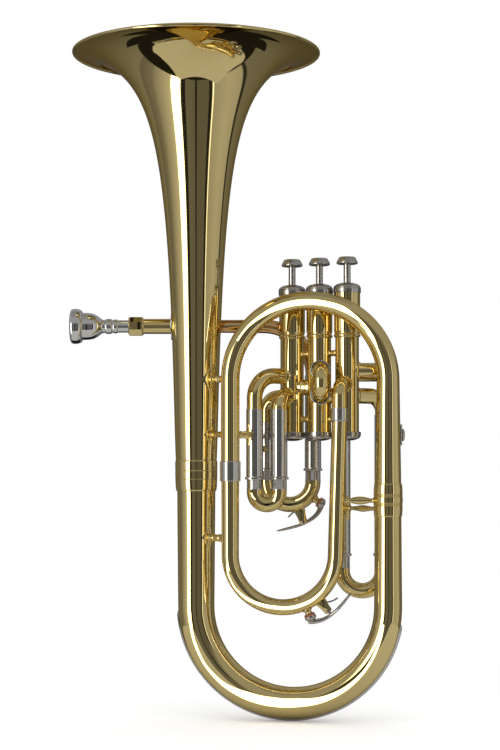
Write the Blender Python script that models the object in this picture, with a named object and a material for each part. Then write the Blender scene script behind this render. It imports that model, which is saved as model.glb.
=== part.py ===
# Alto horn with an upright bell, three piston valves and a mouthpiece on its left.
# Metres, +Z up, +X to the right as the player's audience sees it, -Y towards that audience.
# The origin is the lowest point of the guard on the bottom bow.

import math

import bmesh
import bpy
from mathutils import Matrix, Vector

# Fits and walls shared by the whole horn
FIT = 0.0003
TUBE_WALL = 0.0006
SEAT_DEPTH = 0.006

# Bottom bow, whose plane turns with the bell behind the branch
BOW_BEND_RADIUS = 0.07895
BOW_TURN = math.radians(10.2)
BOW_BELL_END_RADIUS = 0.0158
BOW_BELL_BEND_RADIUS = 0.0149
BOW_LOWEST_RADIUS = 0.0130
BOW_BRANCH_BEND_RADIUS = 0.0113
BRANCH_END_RADIUS = 0.0106
GUARD_THICKNESS = 0.0015
GUARD_HALF_ANGLE = math.radians(38)
GUARD_START = math.radians(-177)
GUARD_END = math.radians(-9)

# Bell: height below the rim and outer radius, from the rim down
BELL_RIM_Z = 0.5471
BELL_RIM_RADIUS = 0.1016
BELL_WALL = 0.0009
BELL_BEAD = 0.0026
BELL_FLARE = (
    (0.0041, 0.0840),
    (0.0105, 0.0708),
    (0.0211, 0.0588),
    (0.0281, 0.0540),
    (0.0421, 0.0460),
    (0.0581, 0.0390),
    (0.0786, 0.0339),
    (0.1036, 0.0298),
    (0.1411, 0.0249),
    (0.1931, 0.0219),
    (0.2521, 0.0201),
    (0.3346, 0.0169),
)

# Ferrules that join the large tubes: low end, high end and the radius of the belly
BELL_FERRULE = (0.1870, 0.2122, 0.0176)
BRANCH_FERRULE = (0.1667, 0.1932, 0.0120)
LEFT_LOOP_FERRULE = (0.1951, 0.2113, 0.0084)
RIGHT_LOOP_FERRULE = (0.2431, 0.2542, 0.0069)
FERRULE_LIP = 0.0004

# Arch over the valves and inner loop, both in the branch's plane
ARCH_SPRING_Z = 0.2770
ARCH_BRANCH_RADIUS = 0.0092
ARCH_TOP_RADIUS = 0.0076
ARCH_LEFT_RADIUS = 0.0075
LOOP_LEFT_X = -0.0495
LOOP_LEFT_RADIUS = 0.0072
LOOP_BEND_Z = 0.1361
LOOP_BEND_TUBE_RADIUS = 0.0064
LOOP_RIGHT_FOOT_X = 0.0355
LOOP_RIGHT_TOP_X = 0.0384
LOOP_RIGHT_RADIUS = 0.0061

# Valve block: three upright casings in a slanted row
VALVE_ROW_X = 0.0235
VALVE_ROW_Y = 0.0160
VALVE_SPACING = 0.0242
VALVE_ROW_ANGLE = math.radians(-23.1)
CASING_RADIUS = 0.0097
CASING_BORE = 0.0090
CASING_FOOT_Z = 0.2313
CASING_SEAM_Z = 0.3139
CASING_SEAM_RADIUS = 0.0109
COLLAR_RADIUS = 0.0107
COLLAR_START_Z = 0.3170
CAP_SEAT_Z = 0.3491
CASING_TOP_Z = 0.3527
CAP_SEAT_STEP = 0.0004
TOP_CAP_RADIUS = 0.01135
TOP_CAP_RISE = 0.0039
BOTTOM_CAP_RADIUS = 0.0114
BOTTOM_CAP_SKIRT = 0.0038
BOTTOM_CAP_DEPTH = 0.0029
UPPER_POST_Z = 0.3000
LOWER_POST_Z = 0.2460
POST_RADIUS = 0.0020
KNUCKLE_RADIUS = 0.00635
KNUCKLE_1_Z = 0.2725
KNUCKLE_2_Z = 0.2650

# Pistons, springs and finger buttons
PISTON_WALL = 0.0012
PISTON_HEAD = 0.0030
PISTON_TOP_Z = 0.3500
PISTON_LENGTH = 0.0970
STEM_RADIUS = 0.00285
BUTTON_UNDERSIDE_Z = 0.3722
BUTTON_HEIGHT = 0.0062
BUTTON_RADIUS = 0.0084
BUTTON_DISH = 0.0003
SPRING_WIRE_RADIUS = 0.00045
SPRING_CURLS = 3

# Slide tubes that all valve slides and the main tuning slide share
SLIDE_OUTER_RADIUS = 0.0069
SLIDE_OUTER_WALL = 0.0005
SLIDE_RING_RADIUS = 0.0079
SLIDE_RING_HEIGHT = 0.0020
SLIDE_BOW_TUBE_RADIUS = 0.0064

# Main tuning slide
TUNING_LEFT_X = -0.0194
TUNING_RIGHT_X = 0.0190
TUNING_Y = 0.0400
TUNING_RING_Z = 0.2047
TUNING_LEFT_TOP_Z = 0.2439
TUNING_BOW_Z = 0.1946
TUNING_ELBOW_Z = 0.2642
TUNING_ELBOW_BEND = 0.0110

# First valve slide
SLIDE_1_LEFT_X = -0.0298
SLIDE_1_RIGHT_X = -0.0099
SLIDE_1_Y = 0.0055
SLIDE_1_RING_Z = 0.1973
SLIDE_1_TOP_Z = 0.2539
SLIDE_1_BOW_Z = 0.1860
SLIDE_1_LEFT_PORT_Z = 0.2815
SLIDE_1_RIGHT_PORT_Z = 0.2650
SLIDE_1_LEFT_BEND = 0.0185
SLIDE_1_RIGHT_BEND = 0.0110

# Second valve slide, which points straight at the audience
SLIDE_2_UPPER_Z = 0.2856
SLIDE_2_LOWER_Z = 0.2655
SLIDE_2_RING_Y = -0.0020
SLIDE_2_BOW_Y = -0.0056

# Third valve slide
SLIDE_3_LEFT_X = 0.0427
SLIDE_3_RIGHT_X = 0.0763
SLIDE_3_Y = 0.0260
SLIDE_3_RING_Z = 0.1332
SLIDE_3_TOP_Z = 0.2500
SLIDE_3_BOW_Z = 0.1211
SLIDE_3_UPPER_PORT_Z = 0.2855
SLIDE_3_RETURN_Z = 0.2835
SLIDE_3_RETURN_X = 0.07575
SLIDE_3_LOWER_PORT_Z = 0.2651
SLIDE_3_LEFT_BEND = 0.0133
SLIDE_3_RIGHT_BEND = 0.0135

# Outlet from the third valve into the inner loop
OUTLET_Z = 0.2739
OUTLET_BEND = 0.0110

# Leadpipe and its receiver, which pass behind the bell
LEADPIPE_Y = 0.0445
LEADPIPE_Z = 0.3245
LEADPIPE_BEND = 0.0412
LEADPIPE_START_RADIUS = 0.00525
LEADPIPE_START_X = -0.1080
RECEIVER_START_X = -0.1352
RECEIVER_COLLAR_END_X = -0.1230
RECEIVER_END_X = -0.0920
RECEIVER_COLLAR_RADIUS = 0.00765
RECEIVER_WALL = 0.00055
FLANGE_X = -0.0975
FLANGE_THICKNESS = 0.0050
FLANGE_HEIGHT = 0.0260
FLANGE_REACH = 0.0020
LEADPIPE_POST_X = -0.0620
LEADPIPE_POST_RADIUS = 0.0030

# Mouthpiece
MOUTHPIECE_RIM_X = -0.1841
MOUTHPIECE_RIM_RADIUS = 0.01465
MOUTHPIECE_RIM_DEPTH = 0.0097
MOUTHPIECE_CUP_RADIUS = 0.0113
MOUTHPIECE_CUP_LENGTH = 0.0269
MOUTHPIECE_NECK_RADIUS = 0.00545
MOUTHPIECE_SHANK_RADIUS = 0.0052
MOUTHPIECE_SHANK_DEPTH = 0.0180
MOUTHPIECE_LARGE_BEAD = (0.0295, 0.0349, 0.0063)
MOUTHPIECE_SMALL_BEAD = (0.0361, 0.0396, 0.00575)
MOUTHPIECE_MOUTH_RADIUS = 0.0088
MOUTHPIECE_THROAT_RADIUS = 0.0022
MOUTHPIECE_BACKBORE_RADIUS = 0.0038

# Braces: height above the origin and greatest radius
FRONT_BALUSTER_Z = 0.1796
FRONT_BALUSTER_RADIUS = 0.00325
BACK_BALUSTER_Z = 0.1728
BACK_BALUSTER_RADIUS = 0.0027
BELL_POST_Z = 0.2779
BOW_POST_Z = 0.1491
ARCH_POST_Z = 0.2328
SLIDE_POST_Z = 0.2215
BRACE_POST_RADIUS = 0.0027

# Lyre socket and its thumbscrew on the branch
LYRE_Z = 0.2324
LYRE_HEIGHT = 0.0173
LYRE_WIDTH = 0.0060
LYRE_PLATE = 0.0010
LYRE_SCREW_RADIUS = 0.00465
LYRE_SCREW_HEAD = 0.0024
LYRE_SHAFT_RADIUS = 0.0010

# Water keys: a nipple under the cup, and a lever between two lugs
NIPPLE_RADIUS = 0.0030
NIPPLE_BORE = 0.0015
NIPPLE_HEIGHT = 0.0032
KEY_CUP_RADIUS = 0.0046
KEY_CUP_HEIGHT = 0.0024
KEY_PIN_RADIUS = 0.0008
KEY_LEVER_WIDTH = 0.0024
KEY_THUMB_WIDTH = 0.0080
KEY_LEVER_THICKNESS = 0.0016
LUG_THICKNESS = 0.0016
LUG_WIDTH = 0.0040
LUG_RISE = 0.0018
KEY_WIRE_RADIUS = 0.00035
KEY_COIL_RADIUS = 0.0019
KEY_COIL_CURLS = 2
KEY_COIL_PITCH = 0.0012
TUNING_KEY_CUP = math.radians(-35.2)
TUNING_KEY_PIVOT = math.radians(-71.6)
TUNING_KEY_TIP = math.radians(-105.2)
TUNING_KEY_PIVOT_HEIGHT = 0.0100
TUNING_KEY_TIP_HEIGHT = 0.0174
LOOP_KEY_CUP = math.radians(-66.3)
LOOP_KEY_PIVOT = math.radians(-51.3)
LOOP_KEY_TIP = math.radians(-29.0)
LOOP_KEY_PIVOT_HEIGHT = 0.0092
LOOP_KEY_TIP_HEIGHT = 0.0146

# Facets around each kind of round piece, and the angle that one facet of a bend turns
BELL_SIDES = 24
BOW_SIDES = 14
ARCH_SIDES = 12
CASING_SIDES = 16
OUTER_TUBE_SIDES = 12
TUBE_SIDES = 10
SMALL_SIDES = 8
CLEARANCE_SIDES = 48
BEND_STEP = math.radians(22.5)
BOW_STEPS = 12
ARCH_STEPS = 10
LOOP_STEPS = 8
LEADPIPE_STEPS = 6
GUARD_ARC_STEPS = 4

# Sizes that follow from those above
SLIDE_BORE = SLIDE_OUTER_RADIUS - SLIDE_OUTER_WALL
SLIDE_LEG_RADIUS = SLIDE_BORE * math.cos(math.pi / OUTER_TUBE_SIDES) - FIT / 4
PORT_RADIUS = SLIDE_LEG_RADIUS - TUBE_WALL
PORT_REACH = CASING_RADIUS * 1.4
BELL_X = -BOW_BEND_RADIUS * math.cos(BOW_TURN)
BELL_Y = BOW_BEND_RADIUS * math.sin(BOW_TURN)
BRANCH_X = -BELL_X
BRANCH_Y = -BELL_Y
BOW_CENTRE_Z = BOW_BEND_RADIUS + BOW_LOWEST_RADIUS + FIT + GUARD_THICKNESS
ARCH_CENTRE_X = (BRANCH_X + LOOP_LEFT_X) / 2
ARCH_BEND_RADIUS = (BRANCH_X - LOOP_LEFT_X) / 2
PISTON_RADIUS = CASING_BORE - FIT
PISTON_FOOT_Z = PISTON_TOP_Z - PISTON_LENGTH
BELL_FERRULE_MIDDLE = (BELL_FERRULE[0] + BELL_FERRULE[1]) / 2
BRANCH_FERRULE_MIDDLE = (BRANCH_FERRULE[0] + BRANCH_FERRULE[1]) / 2
LEFT_FERRULE_MIDDLE = (LEFT_LOOP_FERRULE[0] + LEFT_LOOP_FERRULE[1]) / 2
RIGHT_FERRULE_MIDDLE = (RIGHT_LOOP_FERRULE[0] + RIGHT_LOOP_FERRULE[1]) / 2
TUNING_RIGHT_TOP_Z = LEADPIPE_Z - LEADPIPE_BEND


# Scene and materials

def clear_scene():
    for old in list(bpy.data.objects):
        bpy.data.objects.remove(old)


def metal(name, colour, roughness, metallic=1.0):
    look = bpy.data.materials.new(name)
    look.use_nodes = True
    shader = look.node_tree.nodes["Principled BSDF"]
    shader.inputs["Base Color"].default_value = (*colour, 1)
    shader.inputs["Roughness"].default_value = roughness
    shader.inputs["Metallic"].default_value = metallic
    look.diffuse_color = (*colour, 1)
    return look


def joint_empty(name, place, parent):
    empty = bpy.data.objects.new(name, None)
    empty.location = Vector(place) - (parent.location if parent else Vector())
    empty.parent = parent
    bpy.context.scene.collection.objects.link(empty)
    return empty


def world_place(empty):
    place = Vector(empty.location)
    while empty.parent:
        empty = empty.parent
        place += empty.location
    return place


def hang_on(piece, empty):
    # The piece's mesh is in world coordinates until its origin moves to the empty
    piece.data.transform(Matrix.Translation(-world_place(empty)))
    piece.parent = empty
    return piece


# Solids

def link_mesh(name, mesh, look):
    mesh.shade_smooth()
    mesh.set_sharp_from_angle(angle=math.radians(35))
    mesh.materials.clear()
    mesh.materials.append(look)
    piece = bpy.data.objects.new(name, mesh)
    bpy.context.scene.collection.objects.link(piece)
    return piece


def from_bmesh(name, shape, look):
    bmesh.ops.remove_doubles(shape, verts=shape.verts, dist=1e-6)
    bmesh.ops.recalc_face_normals(shape, faces=shape.faces)
    mesh = bpy.data.meshes.new(name)
    shape.to_mesh(mesh)
    shape.free()
    return link_mesh(name, mesh, look)


def settled_mesh(source):
    bpy.context.view_layer.update()
    graph = bpy.context.evaluated_depsgraph_get()
    return bpy.data.meshes.new_from_object(source.evaluated_get(graph))


def turned(name, outline, look, base=(0, 0, 0), along=(0, 0, 1), sides=CASING_SIDES):
    # The outline is (radius, distance along the axis), closed or starting and ending on the axis
    shape = bmesh.new()
    corners = [shape.verts.new((radius, 0, height)) for radius, height in outline]
    edges = [shape.edges.new(pair) for pair in zip(corners, corners[1:])]
    if outline[0][0] > 0:
        edges.append(shape.edges.new((corners[-1], corners[0])))
    bmesh.ops.spin(
        shape, geom=corners + edges, axis=(0, 0, 1), cent=(0, 0, 0),
        angle=2 * math.pi, steps=sides, use_merge=True,
    )
    turn = Vector((0, 0, 1)).rotation_difference(Vector(along)).to_matrix().to_4x4()
    bmesh.ops.transform(shape, matrix=Matrix.Translation(base) @ turn, verts=shape.verts)
    return from_bmesh(name, shape, look)


def rod(name, start, end, radius, look, sides=TUBE_SIDES):
    along = Vector(end) - Vector(start)
    outline = ((0, 0), (radius, 0), (radius, along.length), (0, along.length))
    return turned(name, outline, look, start, along, sides)


def block(name, low, high, look):
    shape = bmesh.new()
    bmesh.ops.create_cube(shape, size=1)
    low, high = Vector(low), Vector(high)
    size = Matrix.Diagonal((*(high - low), 1))
    middle = Matrix.Translation((low + high) / 2)
    bmesh.ops.transform(shape, matrix=middle @ size, verts=shape.verts)
    return from_bmesh(name, shape, look)


def lofted(name, rings, look):
    shape = bmesh.new()
    loops = [[shape.verts.new(point) for point in ring] for ring in rings]
    for first, second in zip(loops, loops[1:]):
        for index in range(len(first)):
            after = (index + 1) % len(first)
            shape.faces.new((first[index], first[after], second[after], second[index]))
    shape.faces.new(loops[0])
    shape.faces.new(loops[-1])
    return from_bmesh(name, shape, look)


def combined(piece, tool, operation, solver):
    change = piece.modifiers.new(operation.title(), "BOOLEAN")
    change.operation = operation
    change.object = tool
    change.solver = solver
    mesh = settled_mesh(piece)
    name, look = piece.name, piece.data.materials[0]
    bpy.data.objects.remove(piece)
    bpy.data.objects.remove(tool)
    return link_mesh(name, mesh, look)


def joined(piece, *tools, solver="EXACT"):
    for tool in tools:
        piece = combined(piece, tool, "UNION", solver)
    return piece


def cut(piece, *tools, solver="EXACT"):
    for tool in tools:
        piece = combined(piece, tool, "DIFFERENCE", solver)
    return piece


# Paths and tubes

def rounded(corners, bends):
    # A run through the corners, with an arc of the given bend radius at each inner corner
    corners = [Vector(corner) for corner in corners]
    points = [corners[0]]
    for before, corner, after, bend in zip(corners, corners[1:], corners[2:], bends):
        incoming = (corner - before).normalized()
        outgoing = (after - corner).normalized()
        turn = incoming.angle(outgoing)
        inward = (outgoing - incoming * incoming.dot(outgoing)).normalized()
        start = corner - incoming * bend * math.tan(turn / 2)
        centre = start + inward * bend
        steps = max(2, math.ceil(turn / BEND_STEP))
        for index in range(steps + 1):
            angle = turn * index / steps
            points.append(
                centre - inward * bend * math.cos(angle) + incoming * bend * math.sin(angle)
            )
    points.append(corners[-1])
    kept = [points[0]]
    for point in points[1:]:
        if (point - kept[-1]).length > FIT / 3:
            kept.append(point)
    return kept


def travelled(points):
    lengths = [0.0]
    for before, point in zip(points, points[1:]):
        lengths.append(lengths[-1] + (point - before).length)
    return lengths


def graded(points, stages):
    # Radius at each point, from (distance travelled, radius) stages
    radii = []
    for length in travelled(points):
        for (start, first), (end, second) in zip(stages, stages[1:]):
            if length <= end or (end, second) == stages[-1]:
                share = min(1, max(0, (length - start) / (end - start)))
                radii.append(first + (second - first) * share)
                break
    return radii


def wire(name, points, radius, look, resolution=1):
    curve = bpy.data.curves.new(name, "CURVE")
    curve.dimensions = "3D"
    curve.bevel_depth = radius
    curve.bevel_resolution = resolution
    curve.use_fill_caps = True
    spline = curve.splines.new("POLY")
    spline.points.add(len(points) - 1)
    for knot, point in zip(spline.points, points):
        knot.co = (*point, 1)
    source = bpy.data.objects.new(name, curve)
    bpy.context.scene.collection.objects.link(source)
    mesh = settled_mesh(source)
    bpy.data.objects.remove(source)
    return link_mesh(name, mesh, look)


def tube(name, points, radii, look, wall=TUBE_WALL, sides=TUBE_SIDES):
    # An open round tube of the given outer radii, with its wall inside them
    curve = bpy.data.curves.new(name, "CURVE")
    curve.dimensions = "3D"
    curve.bevel_depth = radii[0]
    curve.bevel_resolution = sides // 2 - 2
    spline = curve.splines.new("POLY")
    spline.points.add(len(points) - 1)
    for knot, point, radius in zip(spline.points, points, radii):
        knot.co = (*point, 1)
        knot.radius = radius / radii[0]
    source = bpy.data.objects.new(name, curve)
    bpy.context.scene.collection.objects.link(source)
    shell = source.modifiers.new("Wall", "SOLIDIFY")
    shell.thickness = wall
    shell.offset = -1
    shell.use_even_offset = True
    mesh = settled_mesh(source)
    bpy.data.objects.remove(source)
    return link_mesh(name, mesh, look)


def plain_tube(name, points, radius, look):
    return tube(name, points, [radius] * len(points), look)


def sleeve(name, low, high, belly, tube_radius, x, y, look, sides):
    # A barrel-shaped ferrule around the butt joint of two tubes, clear of them on its facets too
    bore = (tube_radius + FIT) / math.cos(math.pi / sides)
    lip = bore + FERRULE_LIP
    rise = (high - low) / 5
    outline = (
        (bore, low), (lip, low), (belly, low + rise),
        (belly, high - rise), (lip, high), (bore, high),
    )
    return turned(name, outline, look, (x, y, 0), sides=sides)


# Large tubes

def bow_point(across, height):
    return Vector((across * math.cos(BOW_TURN), -across * math.sin(BOW_TURN), height))


def bow_tube_radius(angle):
    # Tube radius at an angle on the bend, -180 degrees at the bell's side and 0 at the branch
    share = 1 + angle / math.pi
    if share < 0.5:
        return BOW_BELL_BEND_RADIUS + (BOW_LOWEST_RADIUS - BOW_BELL_BEND_RADIUS) * share * 2
    return BOW_LOWEST_RADIUS + (BOW_BRANCH_BEND_RADIUS - BOW_LOWEST_RADIUS) * (share * 2 - 1)


def bow_station(angle):
    # How far the tube's centre lies from the bend's centre, and the tube's radius, on its facets
    facet = math.pi / BOW_STEPS
    first = math.floor(angle / facet + 1e-9) * facet
    share = (angle - first) / facet
    low, high = bow_tube_radius(first), bow_tube_radius(first + facet)
    chord = math.cos(facet / 2) / math.cos(angle - first - facet / 2)
    return BOW_BEND_RADIUS * chord, low + (high - low) * share


def make_bottom_bow(look):
    bell_leg_top = BELL_FERRULE_MIDDLE - FIT / 2
    branch_leg_top = BRANCH_FERRULE_MIDDLE - FIT / 2
    points = [bow_point(-BOW_BEND_RADIUS, bell_leg_top)]
    radii = [BOW_BELL_END_RADIUS]
    for index in range(BOW_STEPS + 1):
        angle = math.pi * (index / BOW_STEPS - 1)
        across = BOW_BEND_RADIUS * math.cos(angle)
        points.append(bow_point(across, BOW_CENTRE_Z + BOW_BEND_RADIUS * math.sin(angle)))
        radii.append(bow_tube_radius(angle))
    points.append(bow_point(BOW_BEND_RADIUS, BRANCH_FERRULE[0]))
    radii.append(BRANCH_END_RADIUS)
    points.append(bow_point(BOW_BEND_RADIUS, branch_leg_top))
    radii.append(BRANCH_END_RADIUS)
    return tube("bottom_bow", points, radii, look, BELL_WALL, BOW_SIDES)


def make_bow_guard(look):
    facet = math.pi / BOW_STEPS
    inner_angles = [
        facet * index for index in range(-BOW_STEPS, 1) if GUARD_START < facet * index < GUARD_END
    ]
    side = Vector((math.sin(BOW_TURN), math.cos(BOW_TURN), 0))
    rings = []
    for angle in [GUARD_START, *inner_angles, GUARD_END]:
        bend, tube_radius = bow_station(angle)
        inner = tube_radius + FIT
        ring = []
        for radius, sense in ((inner + GUARD_THICKNESS, 1), (inner, -1)):
            for step in range(GUARD_ARC_STEPS + 1):
                around = sense * GUARD_HALF_ANGLE * (2 * step / GUARD_ARC_STEPS - 1)
                reach = bend + radius * math.cos(around)
                point = bow_point(reach * math.cos(angle), BOW_CENTRE_Z + reach * math.sin(angle))
                ring.append(point + side * radius * math.sin(around))
        rings.append(ring)
    return lofted("bow_guard", rings, look)


def bell_outline():
    # Outer points from the spigot in the ferrule up to the rim
    outer = [
        (BOW_BELL_END_RADIUS, BELL_FERRULE_MIDDLE + FIT / 2),
        (BOW_BELL_END_RADIUS, BELL_FERRULE[1] + FIT),
    ]
    outer += [(radius, BELL_RIM_Z - drop) for drop, radius in reversed(BELL_FLARE)]
    return outer


def bell_radius(height):
    outline = bell_outline()
    for (low_radius, low), (high_radius, high) in zip(outline, outline[1:]):
        if low <= height <= high and high > low:
            return low_radius + (high_radius - low_radius) * (height - low) / (high - low)
    return BELL_RIM_RADIUS


def make_bell(look):
    outer = bell_outline()
    inner = []
    for index, (radius, height) in enumerate(outer):
        before = outer[max(0, index - 1)]
        after = outer[min(len(outer) - 1, index + 1)]
        slope = Vector((after[0] - before[0], after[1] - before[1])).normalized()
        inner.append((radius - slope.y * BELL_WALL, height + slope.x * BELL_WALL))
    inner[0] = (outer[0][0] - BELL_WALL, outer[0][1])
    inner[1] = (outer[1][0] - BELL_WALL, outer[1][1])
    half = BELL_BEAD / 2
    bead = [
        (BELL_RIM_RADIUS - BELL_BEAD, BELL_RIM_Z - BELL_BEAD / 2 - BELL_WALL / 2),
        (BELL_RIM_RADIUS - half, BELL_RIM_Z - BELL_BEAD),
        (BELL_RIM_RADIUS, BELL_RIM_Z - half - half / 2),
        (BELL_RIM_RADIUS, BELL_RIM_Z - half / 2),
        (BELL_RIM_RADIUS - half / 2, BELL_RIM_Z),
        (BELL_RIM_RADIUS - half * 3 / 2, BELL_RIM_Z),
    ]
    outline = outer + bead + inner[::-1]
    return turned("bell", outline, look, (BELL_X, BELL_Y, 0), sides=BELL_SIDES)


def make_branch_arch(look):
    start = Vector((BRANCH_X, BRANCH_Y, BRANCH_FERRULE_MIDDLE + FIT / 2))
    points = [start]
    for index in range(ARCH_STEPS + 1):
        angle = math.pi * index / ARCH_STEPS
        points.append(Vector((
            ARCH_CENTRE_X + ARCH_BEND_RADIUS * math.cos(angle),
            BRANCH_Y,
            ARCH_SPRING_Z + ARCH_BEND_RADIUS * math.sin(angle),
        )))
    points.append(Vector((LOOP_LEFT_X, BRANCH_Y, LEFT_FERRULE_MIDDLE + FIT / 2)))
    lengths = travelled(points)
    stages = (
        (0, BRANCH_END_RADIUS),
        (BRANCH_FERRULE[1] - start.z, BRANCH_END_RADIUS),
        (lengths[1], ARCH_BRANCH_RADIUS),
        (lengths[1 + ARCH_STEPS // 2], ARCH_TOP_RADIUS),
        (lengths[1 + ARCH_STEPS], ARCH_LEFT_RADIUS),
        (lengths[-1], ARCH_LEFT_RADIUS),
    )
    radii = graded(points, stages)
    return tube("branch_and_arch", points, radii, look, sides=ARCH_SIDES)


def branch_radius(height):
    share = (height - BRANCH_FERRULE[1]) / (ARCH_SPRING_Z - BRANCH_FERRULE[1])
    return BRANCH_END_RADIUS + (ARCH_BRANCH_RADIUS - BRANCH_END_RADIUS) * share


def loop_bend():
    centre_x = (LOOP_LEFT_X + LOOP_RIGHT_FOOT_X) / 2
    return Vector((centre_x, BRANCH_Y, LOOP_BEND_Z)), (LOOP_RIGHT_FOOT_X - LOOP_LEFT_X) / 2


def make_inner_loop(look):
    centre, bend = loop_bend()
    points = [Vector((LOOP_LEFT_X, BRANCH_Y, LEFT_FERRULE_MIDDLE - FIT / 2))]
    for index in range(LOOP_STEPS + 1):
        angle = math.pi * (1 + index / LOOP_STEPS)
        points.append(centre + Vector((math.cos(angle), 0, math.sin(angle))) * bend)
    points.append(Vector((LOOP_RIGHT_TOP_X, BRANCH_Y, RIGHT_LOOP_FERRULE[0])))
    points.append(Vector((LOOP_RIGHT_TOP_X, BRANCH_Y, RIGHT_FERRULE_MIDDLE - FIT / 2)))
    lengths = travelled(points)
    stages = (
        (0, LOOP_LEFT_RADIUS),
        (lengths[1], (LOOP_LEFT_RADIUS + LOOP_BEND_TUBE_RADIUS) / 2),
        (lengths[1 + LOOP_STEPS // 2], LOOP_BEND_TUBE_RADIUS),
        (lengths[1 + LOOP_STEPS], LOOP_BEND_TUBE_RADIUS),
        (lengths[-2], LOOP_RIGHT_RADIUS),
        (lengths[-1], LOOP_RIGHT_RADIUS),
    )
    radii = graded(points, stages)
    loop = tube("inner_loop", points, radii, look)
    return with_key_mounts(loop, loop_key(), look)


# Valves

def valve_axis(number):
    along = Vector((math.cos(VALVE_ROW_ANGLE), math.sin(VALVE_ROW_ANGLE), 0))
    return Vector((VALVE_ROW_X, VALVE_ROW_Y, 0)) + along * VALVE_SPACING * (number - 2)


def raised(place, height):
    return Vector((place[0], place[1], height))


def towards(start, end, reach):
    # A point on the level line from start to end, the given reach from start
    level = raised(end, start[2]) - Vector(start)
    return Vector(start) + level.normalized() * reach


def slide_1_left():
    return Vector((SLIDE_1_LEFT_X, SLIDE_1_Y, 0))


def slide_1_right():
    return Vector((SLIDE_1_RIGHT_X, SLIDE_1_Y, 0))


def slide_3_left():
    return Vector((SLIDE_3_LEFT_X, SLIDE_3_Y, 0))


def slide_3_right():
    return Vector((SLIDE_3_RIGHT_X, SLIDE_3_Y, 0))


def tuning_left():
    return Vector((TUNING_LEFT_X, TUNING_Y, 0))


def tuning_right():
    return Vector((TUNING_RIGHT_X, TUNING_Y, 0))


def loop_right():
    return Vector((LOOP_RIGHT_TOP_X, BRANCH_Y, 0))


def valve_ports(number):
    # Height of each port of a valve, and the place that its tube heads for
    if number == 1:
        return (
            (SLIDE_1_LEFT_PORT_Z, slide_1_left()),
            (SLIDE_1_RIGHT_PORT_Z, slide_1_right()),
            (TUNING_ELBOW_Z, tuning_left()),
            (KNUCKLE_1_Z, valve_axis(2)),
        )
    if number == 2:
        ahead = valve_axis(2) - Vector((0, CASING_RADIUS, 0))
        return (
            (SLIDE_2_UPPER_Z, ahead),
            (SLIDE_2_LOWER_Z, ahead),
            (KNUCKLE_1_Z, valve_axis(1)),
            (KNUCKLE_2_Z, valve_axis(3)),
        )
    return (
        (SLIDE_3_UPPER_PORT_Z, valve_axis(3) + Vector((CASING_RADIUS, 0, 0))),
        (SLIDE_3_LOWER_PORT_Z, slide_3_right()),
        (OUTLET_Z, loop_right()),
        (KNUCKLE_2_Z, valve_axis(2)),
    )


def port_rod(number, height, goal, reach, radius, look):
    # A rod that starts inside the bore, so that the rods of one valve don't share an edge
    axis = raised(valve_axis(number), height)
    start = towards(axis, goal, CASING_BORE / 2)
    return rod("port", start, towards(axis, goal, reach), radius, look)


def port_cutters(number, reach, look):
    return [
        port_rod(number, height, goal, reach, PORT_RADIUS, look)
        for height, goal in valve_ports(number)
    ]


def casing_clearance(number, look):
    axis = valve_axis(number)
    low = raised(axis, CASING_FOOT_Z)
    high = raised(axis, CASING_SEAM_Z)
    return rod("clearance", low, high, CASING_RADIUS + FIT, look, CASING_SIDES)


def casing_blank(number, look):
    seam = CASING_SEAM_RADIUS - CASING_RADIUS
    seat = COLLAR_RADIUS - CAP_SEAT_STEP
    outline = (
        (0, CASING_FOOT_Z),
        (CASING_RADIUS, CASING_FOOT_Z),
        (CASING_RADIUS, CASING_SEAM_Z - seam),
        (CASING_SEAM_RADIUS, CASING_SEAM_Z),
        (CASING_SEAM_RADIUS, CASING_SEAM_Z + seam / 2),
        (CASING_SEAM_RADIUS - seam / 2, CASING_SEAM_Z + seam),
        (COLLAR_RADIUS, COLLAR_START_Z),
        (COLLAR_RADIUS, CAP_SEAT_Z),
        (seat, CAP_SEAT_Z),
        (seat, CASING_TOP_Z),
        (0, CASING_TOP_Z),
    )
    return turned(f"valve_casing_{number}", outline, look, valve_axis(number))


def casing_bore(number, look):
    low = raised(valve_axis(number), CASING_FOOT_Z - CASING_RADIUS)
    high = raised(valve_axis(number), CASING_TOP_Z + CASING_RADIUS)
    return rod("bore", low, high, CASING_BORE, look, CASING_SIDES)


def second_slide_socket(height, look):
    # The tube that the second slide's leg enters, with the ring at its mouth
    start = raised(valve_axis(2), height) - Vector((0, CASING_BORE / 2, 0))
    length = start.y - SLIDE_2_RING_Y
    outline = (
        (0, 0),
        (SLIDE_OUTER_RADIUS, 0),
        (SLIDE_OUTER_RADIUS, length - SLIDE_RING_HEIGHT),
        (SLIDE_RING_RADIUS, length - SLIDE_RING_HEIGHT),
        (SLIDE_RING_RADIUS, length),
        (0, length),
    )
    return turned("socket", outline, look, start, (0, -1, 0), OUTER_TUBE_SIDES)


def second_slide_bore(height, look):
    axis = valve_axis(2)
    floor = Vector((axis.x, axis.y - CASING_RADIUS - FIT, height))
    outside = Vector((axis.x, SLIDE_2_RING_Y - SLIDE_RING_HEIGHT, height))
    return rod("slide_bore", floor, outside, SLIDE_BORE, look)


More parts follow.
